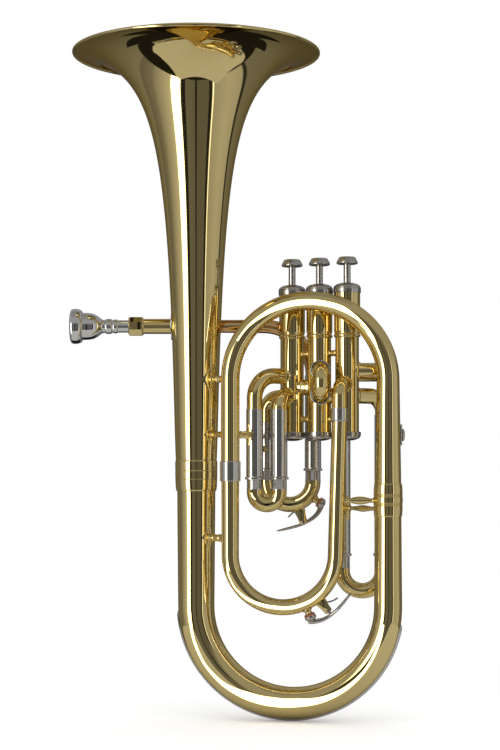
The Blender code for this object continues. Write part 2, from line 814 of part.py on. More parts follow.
def make_middle_casing(look):
    # The middle casing carries the knuckles, the posts and the second slide's sockets.
    # Their many crossings need the MANIFOLD solver.
    links = [
        port_rod(2, height, valve_axis(neighbour), VALVE_SPACING, radius, look)
        for neighbour, knuckle in ((1, KNUCKLE_1_Z), (3, KNUCKLE_2_Z))
        for height, radius in (
            (knuckle, KNUCKLE_RADIUS), (UPPER_POST_Z, POST_RADIUS), (LOWER_POST_Z, POST_RADIUS),
        )
    ]
    slide_heights = (SLIDE_2_UPPER_Z, SLIDE_2_LOWER_Z)
    sockets = [second_slide_socket(height, look) for height in slide_heights]
    bores = [second_slide_bore(height, look) for height in slide_heights]
    ports = port_cutters(2, VALVE_SPACING, look)
    neighbours = [casing_clearance(number, look) for number in (1, 3)]
    casing = joined(casing_blank(2, look), *links, *sockets, solver="MANIFOLD")
    return cut(casing, *bores, *ports, *neighbours, casing_bore(2, look), solver="MANIFOLD")


def make_casing(number, look):
    if number == 2:
        return make_middle_casing(look)
    ports = port_cutters(number, PORT_REACH, look)
    return cut(casing_blank(number, look), *ports, casing_bore(number, look))


def make_top_cap(number, look):
    skirt_bore = COLLAR_RADIUS - CAP_SEAT_STEP + FIT
    low = CAP_SEAT_Z + FIT
    ceiling = CASING_TOP_Z + FIT
    top = ceiling + TOP_CAP_RISE
    hole = STEM_RADIUS + FIT
    outline = (
        (skirt_bore, low),
        (TOP_CAP_RADIUS, low),
        (TOP_CAP_RADIUS, ceiling + TOP_CAP_RISE * 0.36),
        (TOP_CAP_RADIUS * 0.92, ceiling + TOP_CAP_RISE * 0.74),
        (TOP_CAP_RADIUS * 0.62, ceiling + TOP_CAP_RISE * 0.95),
        (hole, top),
        (hole, ceiling),
        (skirt_bore, ceiling),
    )
    return turned(f"top_cap_{number}", outline, look, valve_axis(number))


def bottom_cap_floor():
    return CASING_FOOT_Z - FIT


def make_bottom_cap(number, look):
    floor = bottom_cap_floor()
    skirt_bore = CASING_RADIUS + FIT
    outline = (
        (0, floor - BOTTOM_CAP_DEPTH),
        (BOTTOM_CAP_RADIUS * 0.45, floor - BOTTOM_CAP_DEPTH * 0.92),
        (BOTTOM_CAP_RADIUS * 0.82, floor - BOTTOM_CAP_DEPTH * 0.55),
        (BOTTOM_CAP_RADIUS, floor),
        (BOTTOM_CAP_RADIUS, floor + BOTTOM_CAP_SKIRT),
        (skirt_bore, floor + BOTTOM_CAP_SKIRT),
        (skirt_bore, floor),
        (0, floor),
    )
    return turned(f"bottom_cap_{number}", outline, look, valve_axis(number))


def make_piston(number, look):
    bore = PISTON_RADIUS - PISTON_WALL
    outline = (
        (0, PISTON_TOP_Z - PISTON_HEAD),
        (bore, PISTON_TOP_Z - PISTON_HEAD),
        (bore, PISTON_FOOT_Z),
        (PISTON_RADIUS, PISTON_FOOT_Z),
        (PISTON_RADIUS, PISTON_TOP_Z),
        (0, PISTON_TOP_Z),
    )
    piston = turned(f"piston_{number}", outline, look, valve_axis(number))
    return cut(piston, *port_cutters(number, PORT_REACH, look))


def make_finger_button(number, look):
    foot = PISTON_TOP_Z + FIT
    low = BUTTON_UNDERSIDE_Z
    top = low + BUTTON_HEIGHT
    outline = (
        (0, foot),
        (STEM_RADIUS, foot),
        (STEM_RADIUS, low),
        (BUTTON_RADIUS * 0.82, low + BUTTON_HEIGHT * 0.08),
        (BUTTON_RADIUS, low + BUTTON_HEIGHT * 0.30),
        (BUTTON_RADIUS, low + BUTTON_HEIGHT * 0.50),
        (BUTTON_RADIUS * 0.88, top),
        (BUTTON_RADIUS * 0.76, top),
        (BUTTON_RADIUS * 0.64, top - BUTTON_DISH),
        (0, top - BUTTON_DISH),
    )
    return turned(f"finger_button_{number}", outline, look, valve_axis(number))


def coil_points(centre, first, second, along, radius, pitch, curls):
    # Eight points to each curl, from the side that the first direction points to
    points = []
    for index in range(curls * 8 + 1):
        angle = index * math.pi / 4
        around = first * math.cos(angle) + second * math.sin(angle)
        points.append(centre + around * radius + along * pitch * index / 8)
    return points


def coil_gap(points, wire_radius):
    # Least distance between curls, past the points that are neighbours along the wire
    least = min(
        (points[index] - points[later]).length
        for index in range(len(points))
        for later in range(index + 6, len(points))
    )
    return least - 2 * wire_radius


def make_valve_spring(number, look):
    low = bottom_cap_floor() + FIT + SPRING_WIRE_RADIUS
    high = PISTON_FOOT_Z - FIT - SPRING_WIRE_RADIUS
    radius = PISTON_RADIUS - PISTON_WALL / 2 - FIT / 3
    points = coil_points(
        raised(valve_axis(number), low), Vector((1, 0, 0)), Vector((0, 1, 0)),
        Vector((0, 0, 1)), radius, (high - low) / SPRING_CURLS, SPRING_CURLS,
    )
    name = f"valve_spring_{number}"
    print(name, "least gap in mm:", round(coil_gap(points, SPRING_WIRE_RADIUS) * 1000, 2))
    return wire(name, points, SPRING_WIRE_RADIUS, look)


# Slides and their fixed tubes

def make_outer_tube(name, place, ring_z, top_z, look):
    outline = (
        (SLIDE_BORE, ring_z),
        (SLIDE_RING_RADIUS, ring_z),
        (SLIDE_RING_RADIUS, ring_z + SLIDE_RING_HEIGHT),
        (SLIDE_OUTER_RADIUS, ring_z + SLIDE_RING_HEIGHT),
        (SLIDE_OUTER_RADIUS, top_z),
        (SLIDE_BORE, top_z),
    )
    return turned(name, outline, look, place, sides=OUTER_TUBE_SIDES)


def make_elbow(name, number, port_z, corners, bends, look):
    # A tube from the valve's side down into the top of a slide's outer tube
    start = raised(valve_axis(number), port_z)
    elbow = plain_tube(name, rounded([start, *corners], bends), SLIDE_LEG_RADIUS, look)
    return cut(elbow, casing_clearance(number, look))


def half_turn(first, second, third, fourth, out):
    # Along one leg to its bow, round the bend and back along the other leg, with tube radii.
    # The legs run from first to second and from third to fourth; out points past the bend.
    middle = (second + third) / 2
    across = (second - third) / 2
    reach = out * across.length
    shoulder = out * (SLIDE_BOW_TUBE_RADIUS - SLIDE_LEG_RADIUS) * 2
    points = [first, second - shoulder]
    for index in range(LOOP_STEPS + 1):
        angle = math.pi * index / LOOP_STEPS
        points.append(middle + across * math.cos(angle) + reach * math.sin(angle))
    points += [third - shoulder, fourth]
    legs = [SLIDE_LEG_RADIUS] * 2
    return points, legs + [SLIDE_BOW_TUBE_RADIUS] * (LOOP_STEPS + 1) + legs


def hanging_turn(left, right, left_top, right_top, bow_z):
    down = Vector((0, 0, -1))
    low_left, low_right = raised(left, bow_z), raised(right, bow_z)
    return half_turn(raised(left, left_top), low_left, low_right, raised(right, right_top), down)


def leg_top(outer_top):
    return outer_top - SEAT_DEPTH - FIT * 3


def make_slide_1(look):
    top = leg_top(SLIDE_1_TOP_Z)
    points, radii = hanging_turn(slide_1_left(), slide_1_right(), top, top, SLIDE_1_BOW_Z)
    return tube("slide_1", points, radii, look)


def make_slide_2(look):
    x = valve_axis(2).x
    back = valve_axis(2).y - CASING_RADIUS - FIT * 2
    points, radii = half_turn(
        Vector((x, back, SLIDE_2_UPPER_Z)), Vector((x, SLIDE_2_BOW_Y, SLIDE_2_UPPER_Z)),
        Vector((x, SLIDE_2_BOW_Y, SLIDE_2_LOWER_Z)), Vector((x, back, SLIDE_2_LOWER_Z)),
        Vector((0, -1, 0)),
    )
    return tube("slide_2", points, radii, look)


def make_slide_3(look):
    top = leg_top(SLIDE_3_TOP_Z)
    points, radii = hanging_turn(slide_3_left(), slide_3_right(), top, top, SLIDE_3_BOW_Z)
    return tube("slide_3", points, radii, look)


def make_tuning_slide(look):
    points, radii = hanging_turn(
        tuning_left(), tuning_right(), leg_top(TUNING_LEFT_TOP_Z),
        leg_top(TUNING_RIGHT_TOP_Z), TUNING_BOW_Z,
    )
    slide = tube("tuning_slide", points, radii, look)
    return with_key_mounts(slide, tuning_key(), look)


def make_slide_1_elbow(side, place, port_z, bend, look):
    corners = [raised(place, port_z), raised(place, SLIDE_1_TOP_Z - SEAT_DEPTH)]
    return make_elbow(f"slide_1_elbow_{side}", 1, port_z, corners, [bend], look)


def make_tuning_elbow(look):
    place = tuning_left()
    corners = [raised(place, TUNING_ELBOW_Z), raised(place, TUNING_LEFT_TOP_Z - SEAT_DEPTH)]
    return make_elbow(
        "tuning_elbow", 1, TUNING_ELBOW_Z, corners, [TUNING_ELBOW_BEND], look,
    )


def make_slide_3_elbow_right(look):
    place = slide_3_right()
    port = SLIDE_3_LOWER_PORT_Z
    corners = [raised(place, port), raised(place, SLIDE_3_TOP_Z - SEAT_DEPTH)]
    return make_elbow("slide_3_elbow_right", 3, port, corners, [SLIDE_3_RIGHT_BEND], look)


def make_slide_3_elbow_left(look):
    # The upper tube runs to the right, turns back behind itself and drops into the left leg
    place = slide_3_left()
    front_y = valve_axis(3).y
    turn = (SLIDE_3_Y - front_y) / 2 - FIT
    corners = [
        Vector((SLIDE_3_RETURN_X, front_y, SLIDE_3_UPPER_PORT_Z)),
        Vector((SLIDE_3_RETURN_X, SLIDE_3_Y, SLIDE_3_RETURN_Z)),
        raised(place, SLIDE_3_RETURN_Z),
        raised(place, SLIDE_3_TOP_Z - SEAT_DEPTH),
    ]
    bends = [turn, turn, SLIDE_3_LEFT_BEND]
    return make_elbow("slide_3_elbow_left", 3, SLIDE_3_UPPER_PORT_Z, corners, bends, look)


def make_outlet_elbow(look):
    place = loop_right()
    corners = [raised(place, OUTLET_Z), raised(place, RIGHT_FERRULE_MIDDLE + FIT / 2)]
    start = raised(valve_axis(3), OUTLET_Z)
    points = rounded([start, *corners], [OUTLET_BEND])
    elbow = plain_tube("outlet_elbow", points, LOOP_RIGHT_RADIUS, look)
    return cut(elbow, casing_clearance(3, look))


# Leadpipe

def make_leadpipe(look):
    bend_start_x = TUNING_RIGHT_X - LEADPIPE_BEND
    points = [Vector((LEADPIPE_START_X, LEADPIPE_Y, LEADPIPE_Z))]
    for index in range(LEADPIPE_STEPS + 1):
        share = index / LEADPIPE_STEPS
        angle = share * math.pi / 2
        points.append(Vector((
            bend_start_x + LEADPIPE_BEND * math.sin(angle),
            LEADPIPE_Y + (TUNING_Y - LEADPIPE_Y) * share,
            LEADPIPE_Z - LEADPIPE_BEND * (1 - math.cos(angle)),
        )))
    points.append(raised(tuning_right(), TUNING_RIGHT_TOP_Z - SEAT_DEPTH))
    lengths = travelled(points)
    behind_bell = BELL_X - LEADPIPE_START_X
    stages = (
        (0, LEADPIPE_START_RADIUS),
        (behind_bell, LEADPIPE_START_RADIUS),
        (lengths[1 + LEADPIPE_STEPS], SLIDE_LEG_RADIUS),
        (lengths[-1], SLIDE_LEG_RADIUS),
    )
    return tube("leadpipe", points, graded(points, stages), look)


def receiver_bore():
    return max(LEADPIPE_START_RADIUS, MOUTHPIECE_SHANK_RADIUS) + FIT


def make_receiver(look):
    bore = receiver_bore()
    body = bore + RECEIVER_WALL
    length = RECEIVER_END_X - RECEIVER_START_X
    collar = RECEIVER_COLLAR_END_X - RECEIVER_START_X
    chamfer = (RECEIVER_COLLAR_RADIUS - body) / 2
    outline = (
        (bore, 0),
        (RECEIVER_COLLAR_RADIUS - chamfer, 0),
        (RECEIVER_COLLAR_RADIUS, chamfer),
        (RECEIVER_COLLAR_RADIUS, collar - chamfer),
        (RECEIVER_COLLAR_RADIUS - chamfer, collar),
        (body, collar),
        (body, length),
        (bore, length),
    )
    base = (RECEIVER_START_X, LEADPIPE_Y, LEADPIPE_Z)
    return turned("mouthpipe_receiver", outline, look, base, (1, 0, 0), OUTER_TUBE_SIDES)


def bell_clearance(low, high, look):
    start = Vector((BELL_X, BELL_Y, low))
    end = Vector((BELL_X, BELL_Y, high))
    return rod("clearance", start, end, bell_radius(high) + FIT, look, CLEARANCE_SIDES)


def make_leadpipe_flange(look):
    # A shield-shaped plate between the bell and the receiver's sleeve
    half = FLANGE_HEIGHT / 2
    near = BELL_Y
    far = LEADPIPE_Y + FLANGE_REACH
    shield = (
        (near, -half * 0.5), (far - half, -half), (far, -half * 0.62),
        (far, half * 0.62), (far - half, half), (near, half * 0.5),
    )
    rings = [
        [Vector((FLANGE_X + side, y, LEADPIPE_Z + rise)) for y, rise in shield]
        for side in (-FLANGE_THICKNESS / 2, FLANGE_THICKNESS / 2)
    ]
    flange = lofted("leadpipe_flange", rings, look)
    sleeve_radius = receiver_bore() + RECEIVER_WALL + FIT
    start = Vector((FLANGE_X - FLANGE_THICKNESS, LEADPIPE_Y, LEADPIPE_Z))
    end = Vector((FLANGE_X + FLANGE_THICKNESS, LEADPIPE_Y, LEADPIPE_Z))
    around_sleeve = rod("clearance", start, end, sleeve_radius, look, OUTER_TUBE_SIDES)
    around_bell = bell_clearance(LEADPIPE_Z - half * 2, LEADPIPE_Z + half * 2, look)
    return cut(flange, around_sleeve, around_bell)


def make_leadpipe_post(look):
    start = Vector((LEADPIPE_POST_X, BELL_Y, LEADPIPE_Z))
    reach = LEADPIPE_Y - LEADPIPE_START_RADIUS - FIT * 2
    end = Vector((LEADPIPE_POST_X, reach, LEADPIPE_Z))
    post = rod("leadpipe_post", start, end, LEADPIPE_POST_RADIUS, look)
    low = LEADPIPE_Z - LEADPIPE_POST_RADIUS * 2
    return cut(post, bell_clearance(low, LEADPIPE_Z + LEADPIPE_POST_RADIUS * 2, look))


def make_mouthpiece(look):
    shank_end = RECEIVER_START_X - MOUTHPIECE_RIM_X + MOUTHPIECE_SHANK_DEPTH
    rim = MOUTHPIECE_RIM_RADIUS
    large_start, large_end, large_radius = MOUTHPIECE_LARGE_BEAD
    small_start, small_end, small_radius = MOUTHPIECE_SMALL_BEAD
    cup_end = MOUTHPIECE_CUP_LENGTH
    cup_middle = (MOUTHPIECE_RIM_DEPTH + cup_end) / 2
    outline = (
        (rim * 0.72, 0),
        (rim * 0.86, 0),
        (rim * 0.97, MOUTHPIECE_RIM_DEPTH * 0.16),
        (rim, MOUTHPIECE_RIM_DEPTH * 0.40),
        (rim * 0.97, MOUTHPIECE_RIM_DEPTH * 0.82),
        (MOUTHPIECE_CUP_RADIUS, MOUTHPIECE_RIM_DEPTH),
        (MOUTHPIECE_CUP_RADIUS * 0.93, cup_middle - MOUTHPIECE_RIM_DEPTH * 0.2),
        (MOUTHPIECE_CUP_RADIUS * 0.70, cup_middle + MOUTHPIECE_RIM_DEPTH * 0.35),
        (MOUTHPIECE_NECK_RADIUS, cup_end),
        (MOUTHPIECE_NECK_RADIUS, large_start),
        (large_radius, large_start),
        (large_radius, large_end),
        (MOUTHPIECE_SHANK_RADIUS, large_end),
        (MOUTHPIECE_SHANK_RADIUS, small_start),
        (small_radius, small_start),
        (small_radius, small_end),
        (MOUTHPIECE_SHANK_RADIUS, small_end),
        (MOUTHPIECE_SHANK_RADIUS, shank_end),
        (MOUTHPIECE_BACKBORE_RADIUS, shank_end),
        (MOUTHPIECE_THROAT_RADIUS, cup_end),
        (MOUTHPIECE_THROAT_RADIUS, cup_middle),
        (MOUTHPIECE_MOUTH_RADIUS * 0.62, cup_middle - MOUTHPIECE_RIM_DEPTH * 0.4),
        (MOUTHPIECE_MOUTH_RADIUS * 0.92, MOUTHPIECE_RIM_DEPTH * 0.72),
        (MOUTHPIECE_MOUTH_RADIUS, MOUTHPIECE_RIM_DEPTH * 0.12),
    )
    base = (MOUTHPIECE_RIM_X, LEADPIPE_Y, LEADPIPE_Z)
    return turned("mouthpiece", outline, look, base, (1, 0, 0), BOW_SIDES)


# Braces and small fittings

def brace(name, first, first_radius, second, second_radius, shape, look):
    # A turned post between two round pieces; shape is (share of its length, radius)
    along = (second - first).normalized()
    start = first + along * (first_radius + FIT)
    length = (second - first).length - first_radius - second_radius - FIT * 2
    outline = [(0, 0)] + [(radius, share * length) for share, radius in shape] + [(0, length)]
    return turned(name, outline, look, start, along, SMALL_SIDES)


def baluster_shape(radius):
    return (
        (0.00, radius * 0.90), (0.10, radius * 0.90), (0.16, radius * 0.45),
        (0.28, radius * 0.55), (0.50, radius), (0.72, radius * 0.55),
        (0.84, radius * 0.45), (0.90, radius * 0.90), (1.00, radius * 0.90),
    )


def post_shape(radius):
    return (
        (0.00, radius * 1.30), (0.12, radius * 1.30), (0.20, radius * 0.70),
        (0.80, radius * 0.70), (0.88, radius * 1.30), (1.00, radius * 1.30),
    )


def double_bead_shape(radius):
    return (
        (0.00, radius), (0.08, radius * 0.60), (0.26, radius * 0.55), (0.34, radius),
        (0.42, radius * 0.60), (0.58, radius * 0.60), (0.66, radius),
        (0.74, radius * 0.55), (0.92, radius * 0.60), (1.00, radius),
    )


def loop_right_at(height):
    share = (height - LOOP_BEND_Z) / (RIGHT_LOOP_FERRULE[0] - LOOP_BEND_Z)
    x = LOOP_RIGHT_FOOT_X + (LOOP_RIGHT_TOP_X - LOOP_RIGHT_FOOT_X) * share
    return Vector((x, BRANCH_Y, height))


def make_braces(look):
    branch = Vector((BRANCH_X, BRANCH_Y, 0))
    bell = Vector((BELL_X, BELL_Y, 0))
    loop_left = Vector((LOOP_LEFT_X, BRANCH_Y, 0))
    loop_left_post_radius = (LOOP_LEFT_RADIUS + LOOP_BEND_TUBE_RADIUS) / 2
    bow_share = (BOW_POST_Z - BOW_CENTRE_Z) / (BELL_FERRULE_MIDDLE - BOW_CENTRE_Z)
    bow_post_radius = (
        BOW_BELL_BEND_RADIUS + (BOW_BELL_END_RADIUS - BOW_BELL_BEND_RADIUS) * bow_share
    )
    return [
        brace(
            "front_baluster", loop_right_at(FRONT_BALUSTER_Z), LOOP_BEND_TUBE_RADIUS,
            raised(branch, FRONT_BALUSTER_Z), BRANCH_FERRULE[2],
            baluster_shape(FRONT_BALUSTER_RADIUS), look,
        ),
        brace(
            "back_baluster", raised(slide_3_left(), BACK_BALUSTER_Z), SLIDE_OUTER_RADIUS,
            raised(branch, BACK_BALUSTER_Z), BRANCH_FERRULE[2],
            baluster_shape(BACK_BALUSTER_RADIUS), look,
        ),
        brace(
            "bell_post", raised(bell, BELL_POST_Z), bell_radius(BELL_POST_Z),
            raised(loop_left, BELL_POST_Z), ARCH_LEFT_RADIUS,
            post_shape(BRACE_POST_RADIUS), look,
        ),
        brace(
            "bow_post", raised(bell, BOW_POST_Z), bow_post_radius,
            raised(loop_left, BOW_POST_Z), loop_left_post_radius,
            post_shape(BRACE_POST_RADIUS), look,
        ),
        brace(
            "arch_post", raised(loop_left, ARCH_POST_Z), ARCH_LEFT_RADIUS,
            raised(slide_1_left(), ARCH_POST_Z), SLIDE_OUTER_RADIUS,
            post_shape(BRACE_POST_RADIUS), look,
        ),
        brace(
            "slide_post", raised(slide_1_left(), SLIDE_POST_Z), SLIDE_OUTER_RADIUS,
            raised(tuning_left(), SLIDE_POST_Z), SLIDE_OUTER_RADIUS,
            double_bead_shape(BRACE_POST_RADIUS), look,
        ),
    ]


def lyre_face_x():
    return BRANCH_X + branch_radius(LYRE_Z) + FIT + LYRE_PLATE


def make_lyre_socket(look):
    face = lyre_face_x()
    half = LYRE_HEIGHT / 2
    low = (face - LYRE_PLATE * 4, BRANCH_Y - LYRE_WIDTH / 2, LYRE_Z - half)
    high = (face, BRANCH_Y + LYRE_WIDTH / 2, LYRE_Z + half)
    plate = block("lyre_socket", low, high, look)
    branch_low = Vector((BRANCH_X, BRANCH_Y, LYRE_Z - LYRE_HEIGHT))
    branch_high = Vector((BRANCH_X, BRANCH_Y, LYRE_Z + LYRE_HEIGHT))
    clearance = branch_radius(LYRE_Z - half) + FIT
    hole_start = Vector((BRANCH_X, BRANCH_Y, LYRE_Z))
    hole_end = Vector((face + LYRE_PLATE, BRANCH_Y, LYRE_Z))
    hole_radius = LYRE_SHAFT_RADIUS + FIT
    return cut(
        plate,
        rod("branch", branch_low, branch_high, clearance, look, CLEARANCE_SIDES),
        rod("hole", hole_start, hole_end, hole_radius, look, SMALL_SIDES),
    )


def make_lyre_screw(look):
    base = (lyre_face_x() + FIT, BRANCH_Y, LYRE_Z)
    outline = (
        (0, -LYRE_PLATE), (LYRE_SHAFT_RADIUS, -LYRE_PLATE), (LYRE_SHAFT_RADIUS, 0),
        (LYRE_SCREW_RADIUS, 0), (LYRE_SCREW_RADIUS, LYRE_SCREW_HEAD), (0, LYRE_SCREW_HEAD),
    )
    return turned("lyre_screw", outline, look, base, (1, 0, 0), OUTER_TUBE_SIDES)


# Water keys, laid out around the bend of the bow that carries them

def tuning_key():
    return {
        "name": "tuning",
        "centre": raised((tuning_left() + tuning_right()) / 2, TUNING_BOW_Z),
        "bend": (TUNING_RIGHT_X - TUNING_LEFT_X) / 2,
        "tube": SLIDE_BOW_TUBE_RADIUS,
        "cup": TUNING_KEY_CUP,
        "pivot": TUNING_KEY_PIVOT,
        "tip": TUNING_KEY_TIP,
        "pivot_height": TUNING_KEY_PIVOT_HEIGHT,
        "tip_height": TUNING_KEY_TIP_HEIGHT,
    }


def loop_key():
    centre, bend = loop_bend()
    return {
        "name": "loop",
        "centre": centre,
        "bend": bend,
        "tube": LOOP_BEND_TUBE_RADIUS,
        "cup": LOOP_KEY_CUP,
        "pivot": LOOP_KEY_PIVOT,
        "tip": LOOP_KEY_TIP,
        "pivot_height": LOOP_KEY_PIVOT_HEIGHT,
        "tip_height": LOOP_KEY_TIP_HEIGHT,
    }


def key_out(angle):
    return Vector((math.cos(angle), 0, math.sin(angle)))


def key_along(angle):
    return Vector((-math.sin(angle), 0, math.cos(angle)))


def key_point(key, angle, height):
    # A point in the key's plane, at a height above the outside of the bent tube
    return key["centre"] + key_out(angle) * (key["bend"] + key["tube"] + height)


def key_pivot(key):
    return key_point(key, key["pivot"], key["pivot_height"])


def key_box(name, middle, out, along, radial, length, width, look):
    # A block with its faces square to the tube: radial and width are (low, high) pairs
    rings = []
    for reach in radial:
        rings.append([
            middle + out * reach + along * side * length / 2 + Vector((0, across, 0))
            for side, across in ((-1, width[0]), (1, width[0]), (1, width[1]), (-1, width[1]))
        ])
    return lofted(name, rings, look)


def with_key_mounts(bow, key, look):
    # The nipple that the cup closes, and two lugs with the holes for the pivot
    out = key_out(key["pivot"])
    along = key_along(key["pivot"])
    pivot = key_pivot(key)
    root = -key["pivot_height"] - key["tube"] * 0.22
    inner = KEY_LEVER_WIDTH / 2 + FIT
    for sense in (-1, 1):
        width = sorted((sense * inner, sense * (inner + LUG_THICKNESS)))
        lug = key_box("lug", pivot, out, along, (root, LUG_RISE), LUG_WIDTH, width, look)
        bow = joined(bow, lug)
    nipple_foot = key_point(key, key["cup"], -key["tube"] * 0.15)
    nipple_top = key_point(key, key["cup"], NIPPLE_HEIGHT)
    bow = joined(bow, rod("nipple", nipple_foot, nipple_top, NIPPLE_RADIUS, look))
    bore_start = key_point(key, key["cup"], -key["tube"])
    bore_end = key_point(key, key["cup"], NIPPLE_HEIGHT * 2)
    reach = Vector((0, inner + LUG_THICKNESS * 2, 0))
    return cut(
        bow,
        rod("bore", bore_start, bore_end, NIPPLE_BORE, look, SMALL_SIDES),
        rod("pin_hole", pivot - reach, pivot + reach, KEY_PIN_RADIUS + FIT, look, SMALL_SIDES),
    )


def make_key_lever(key, look):
    cup_low = NIPPLE_HEIGHT + FIT
    cup_top = cup_low + KEY_CUP_HEIGHT
    arm_start = key_point(key, key["cup"], cup_top)
    pivot = key_pivot(key)
    tip = key_point(key, key["tip"], key["tip_height"])
    arm = pivot - arm_start
    handle = tip - pivot
    slim, thumb = KEY_LEVER_WIDTH, KEY_THUMB_WIDTH
    stations = (
        (arm_start - arm * 0.06, slim), (arm_start + arm * 0.5, slim), (pivot, slim),
        (pivot + handle * 0.22, slim), (pivot + handle * 0.5, thumb * 0.8),
        (pivot + handle * 0.8, thumb), (tip, thumb * 0.7),
    )
    rings = []
    for index, (place, width) in enumerate(stations):
        before = stations[max(0, index - 1)][0]
        after = stations[min(len(stations) - 1, index + 1)][0]
        along = (after - before).normalized()
        out = Vector((0, 1, 0)).cross(along)
        half = out * KEY_LEVER_THICKNESS / 2
        side = Vector((0, width / 2, 0))
        rings.append([
            place - half - side, place + half - side, place + half + side, place - half + side,
        ])
    lever = lofted(f"{key['name']}_water_key", rings, look)
    cup = rod(
        "cup", key_point(key, key["cup"], cup_low), key_point(key, key["cup"], cup_top),
        KEY_CUP_RADIUS, look,
    )
    lug_side = KEY_LEVER_WIDTH / 2 + FIT + LUG_THICKNESS
    front = Vector((0, -lug_side - FIT * 2 - KEY_COIL_CURLS * KEY_COIL_PITCH - FIT * 4, 0))
    back = Vector((0, lug_side + FIT, 0))
    pin = rod("pin", pivot + front, pivot + back, KEY_PIN_RADIUS, look, SMALL_SIDES)
    return joined(lever, cup, pin)


def make_key_spring(key, look):
    # A coil around the pivot in front of the lugs, with a tail that rests on the bow
    pivot = key_pivot(key)
    lug_side = KEY_LEVER_WIDTH / 2 + FIT + LUG_THICKNESS
    start = pivot - Vector((0, lug_side + FIT + KEY_WIRE_RADIUS, 0))
    out = key_out(key["pivot"])
    along = key_along(key["pivot"])
    sideways = start.y - key["centre"].y
    surface = math.sqrt(key["tube"] ** 2 - sideways ** 2) - key["tube"]
    drop = key["pivot_height"] - surface - KEY_WIRE_RADIUS - FIT * 2
    curls = coil_points(
        start, along, out, Vector((0, -1, 0)), KEY_COIL_RADIUS, KEY_COIL_PITCH, KEY_COIL_CURLS,
    )
    name = f"{key['name']}_key_spring"
    print(name, "least gap in mm:", round(coil_gap(curls, KEY_WIRE_RADIUS) * 1000, 2))
    tail = curls[0] - out * drop
    return wire(name, [tail, *curls], KEY_WIRE_RADIUS, look)


# Assembly

def make_fixed_pieces(brass, silver):
    pieces = [
        make_bell(brass),
        sleeve(
            "bell_ferrule", *BELL_FERRULE, BOW_BELL_END_RADIUS, BELL_X, BELL_Y,
            brass, BOW_SIDES,
        ),
        make_bottom_bow(brass),
        make_bow_guard(silver),
        sleeve(
            "branch_ferrule", *BRANCH_FERRULE, BRANCH_END_RADIUS, BRANCH_X, BRANCH_Y,
            brass, ARCH_SIDES,
        ),
        make_branch_arch(brass),
        sleeve(
            "left_loop_ferrule", *LEFT_LOOP_FERRULE, ARCH_LEFT_RADIUS, LOOP_LEFT_X,
            BRANCH_Y, silver, ARCH_SIDES,
        ),
        make_inner_loop(brass),
        sleeve(
            "right_loop_ferrule", *RIGHT_LOOP_FERRULE, LOOP_RIGHT_RADIUS,
            LOOP_RIGHT_TOP_X, BRANCH_Y, silver, ARCH_SIDES,
        ),
        make_outlet_elbow(brass),
        make_leadpipe(brass),
        make_receiver(brass),
        make_leadpipe_flange(brass),
        make_leadpipe_post(brass),
        make_tuning_elbow(brass),
        make_slide_1_elbow(
            "left", slide_1_left(), SLIDE_1_LEFT_PORT_Z, SLIDE_1_LEFT_BEND, brass,
        ),
        make_slide_1_elbow(
            "right", slide_1_right(), SLIDE_1_RIGHT_PORT_Z, SLIDE_1_RIGHT_BEND, brass,
        ),
        make_slide_3_elbow_left(brass),
        make_slide_3_elbow_right(brass),
        make_lyre_socket(silver),
    ]
    for name, place, ring_z, top_z in (
        ("tuning_outer_left", tuning_left(), TUNING_RING_Z, TUNING_LEFT_TOP_Z),
        ("tuning_outer_right", tuning_right(), TUNING_RING_Z, TUNING_RIGHT_TOP_Z),
        ("slide_1_outer_left", slide_1_left(), SLIDE_1_RING_Z, SLIDE_1_TOP_Z),
        ("slide_1_outer_right", slide_1_right(), SLIDE_1_RING_Z, SLIDE_1_TOP_Z),
        ("slide_3_outer_left", slide_3_left(), SLIDE_3_RING_Z, SLIDE_3_TOP_Z),
        ("slide_3_outer_right", slide_3_right(), SLIDE_3_RING_Z, SLIDE_3_TOP_Z),
    ):
        pieces.append(make_outer_tube(name, place, ring_z, top_z, silver))
    for number in (1, 2, 3):
        pieces.append(make_casing(number, brass))
        pieces.append(make_top_cap(number, silver))
        pieces.append(make_bottom_cap(number, silver))
    return pieces + make_braces(brass)


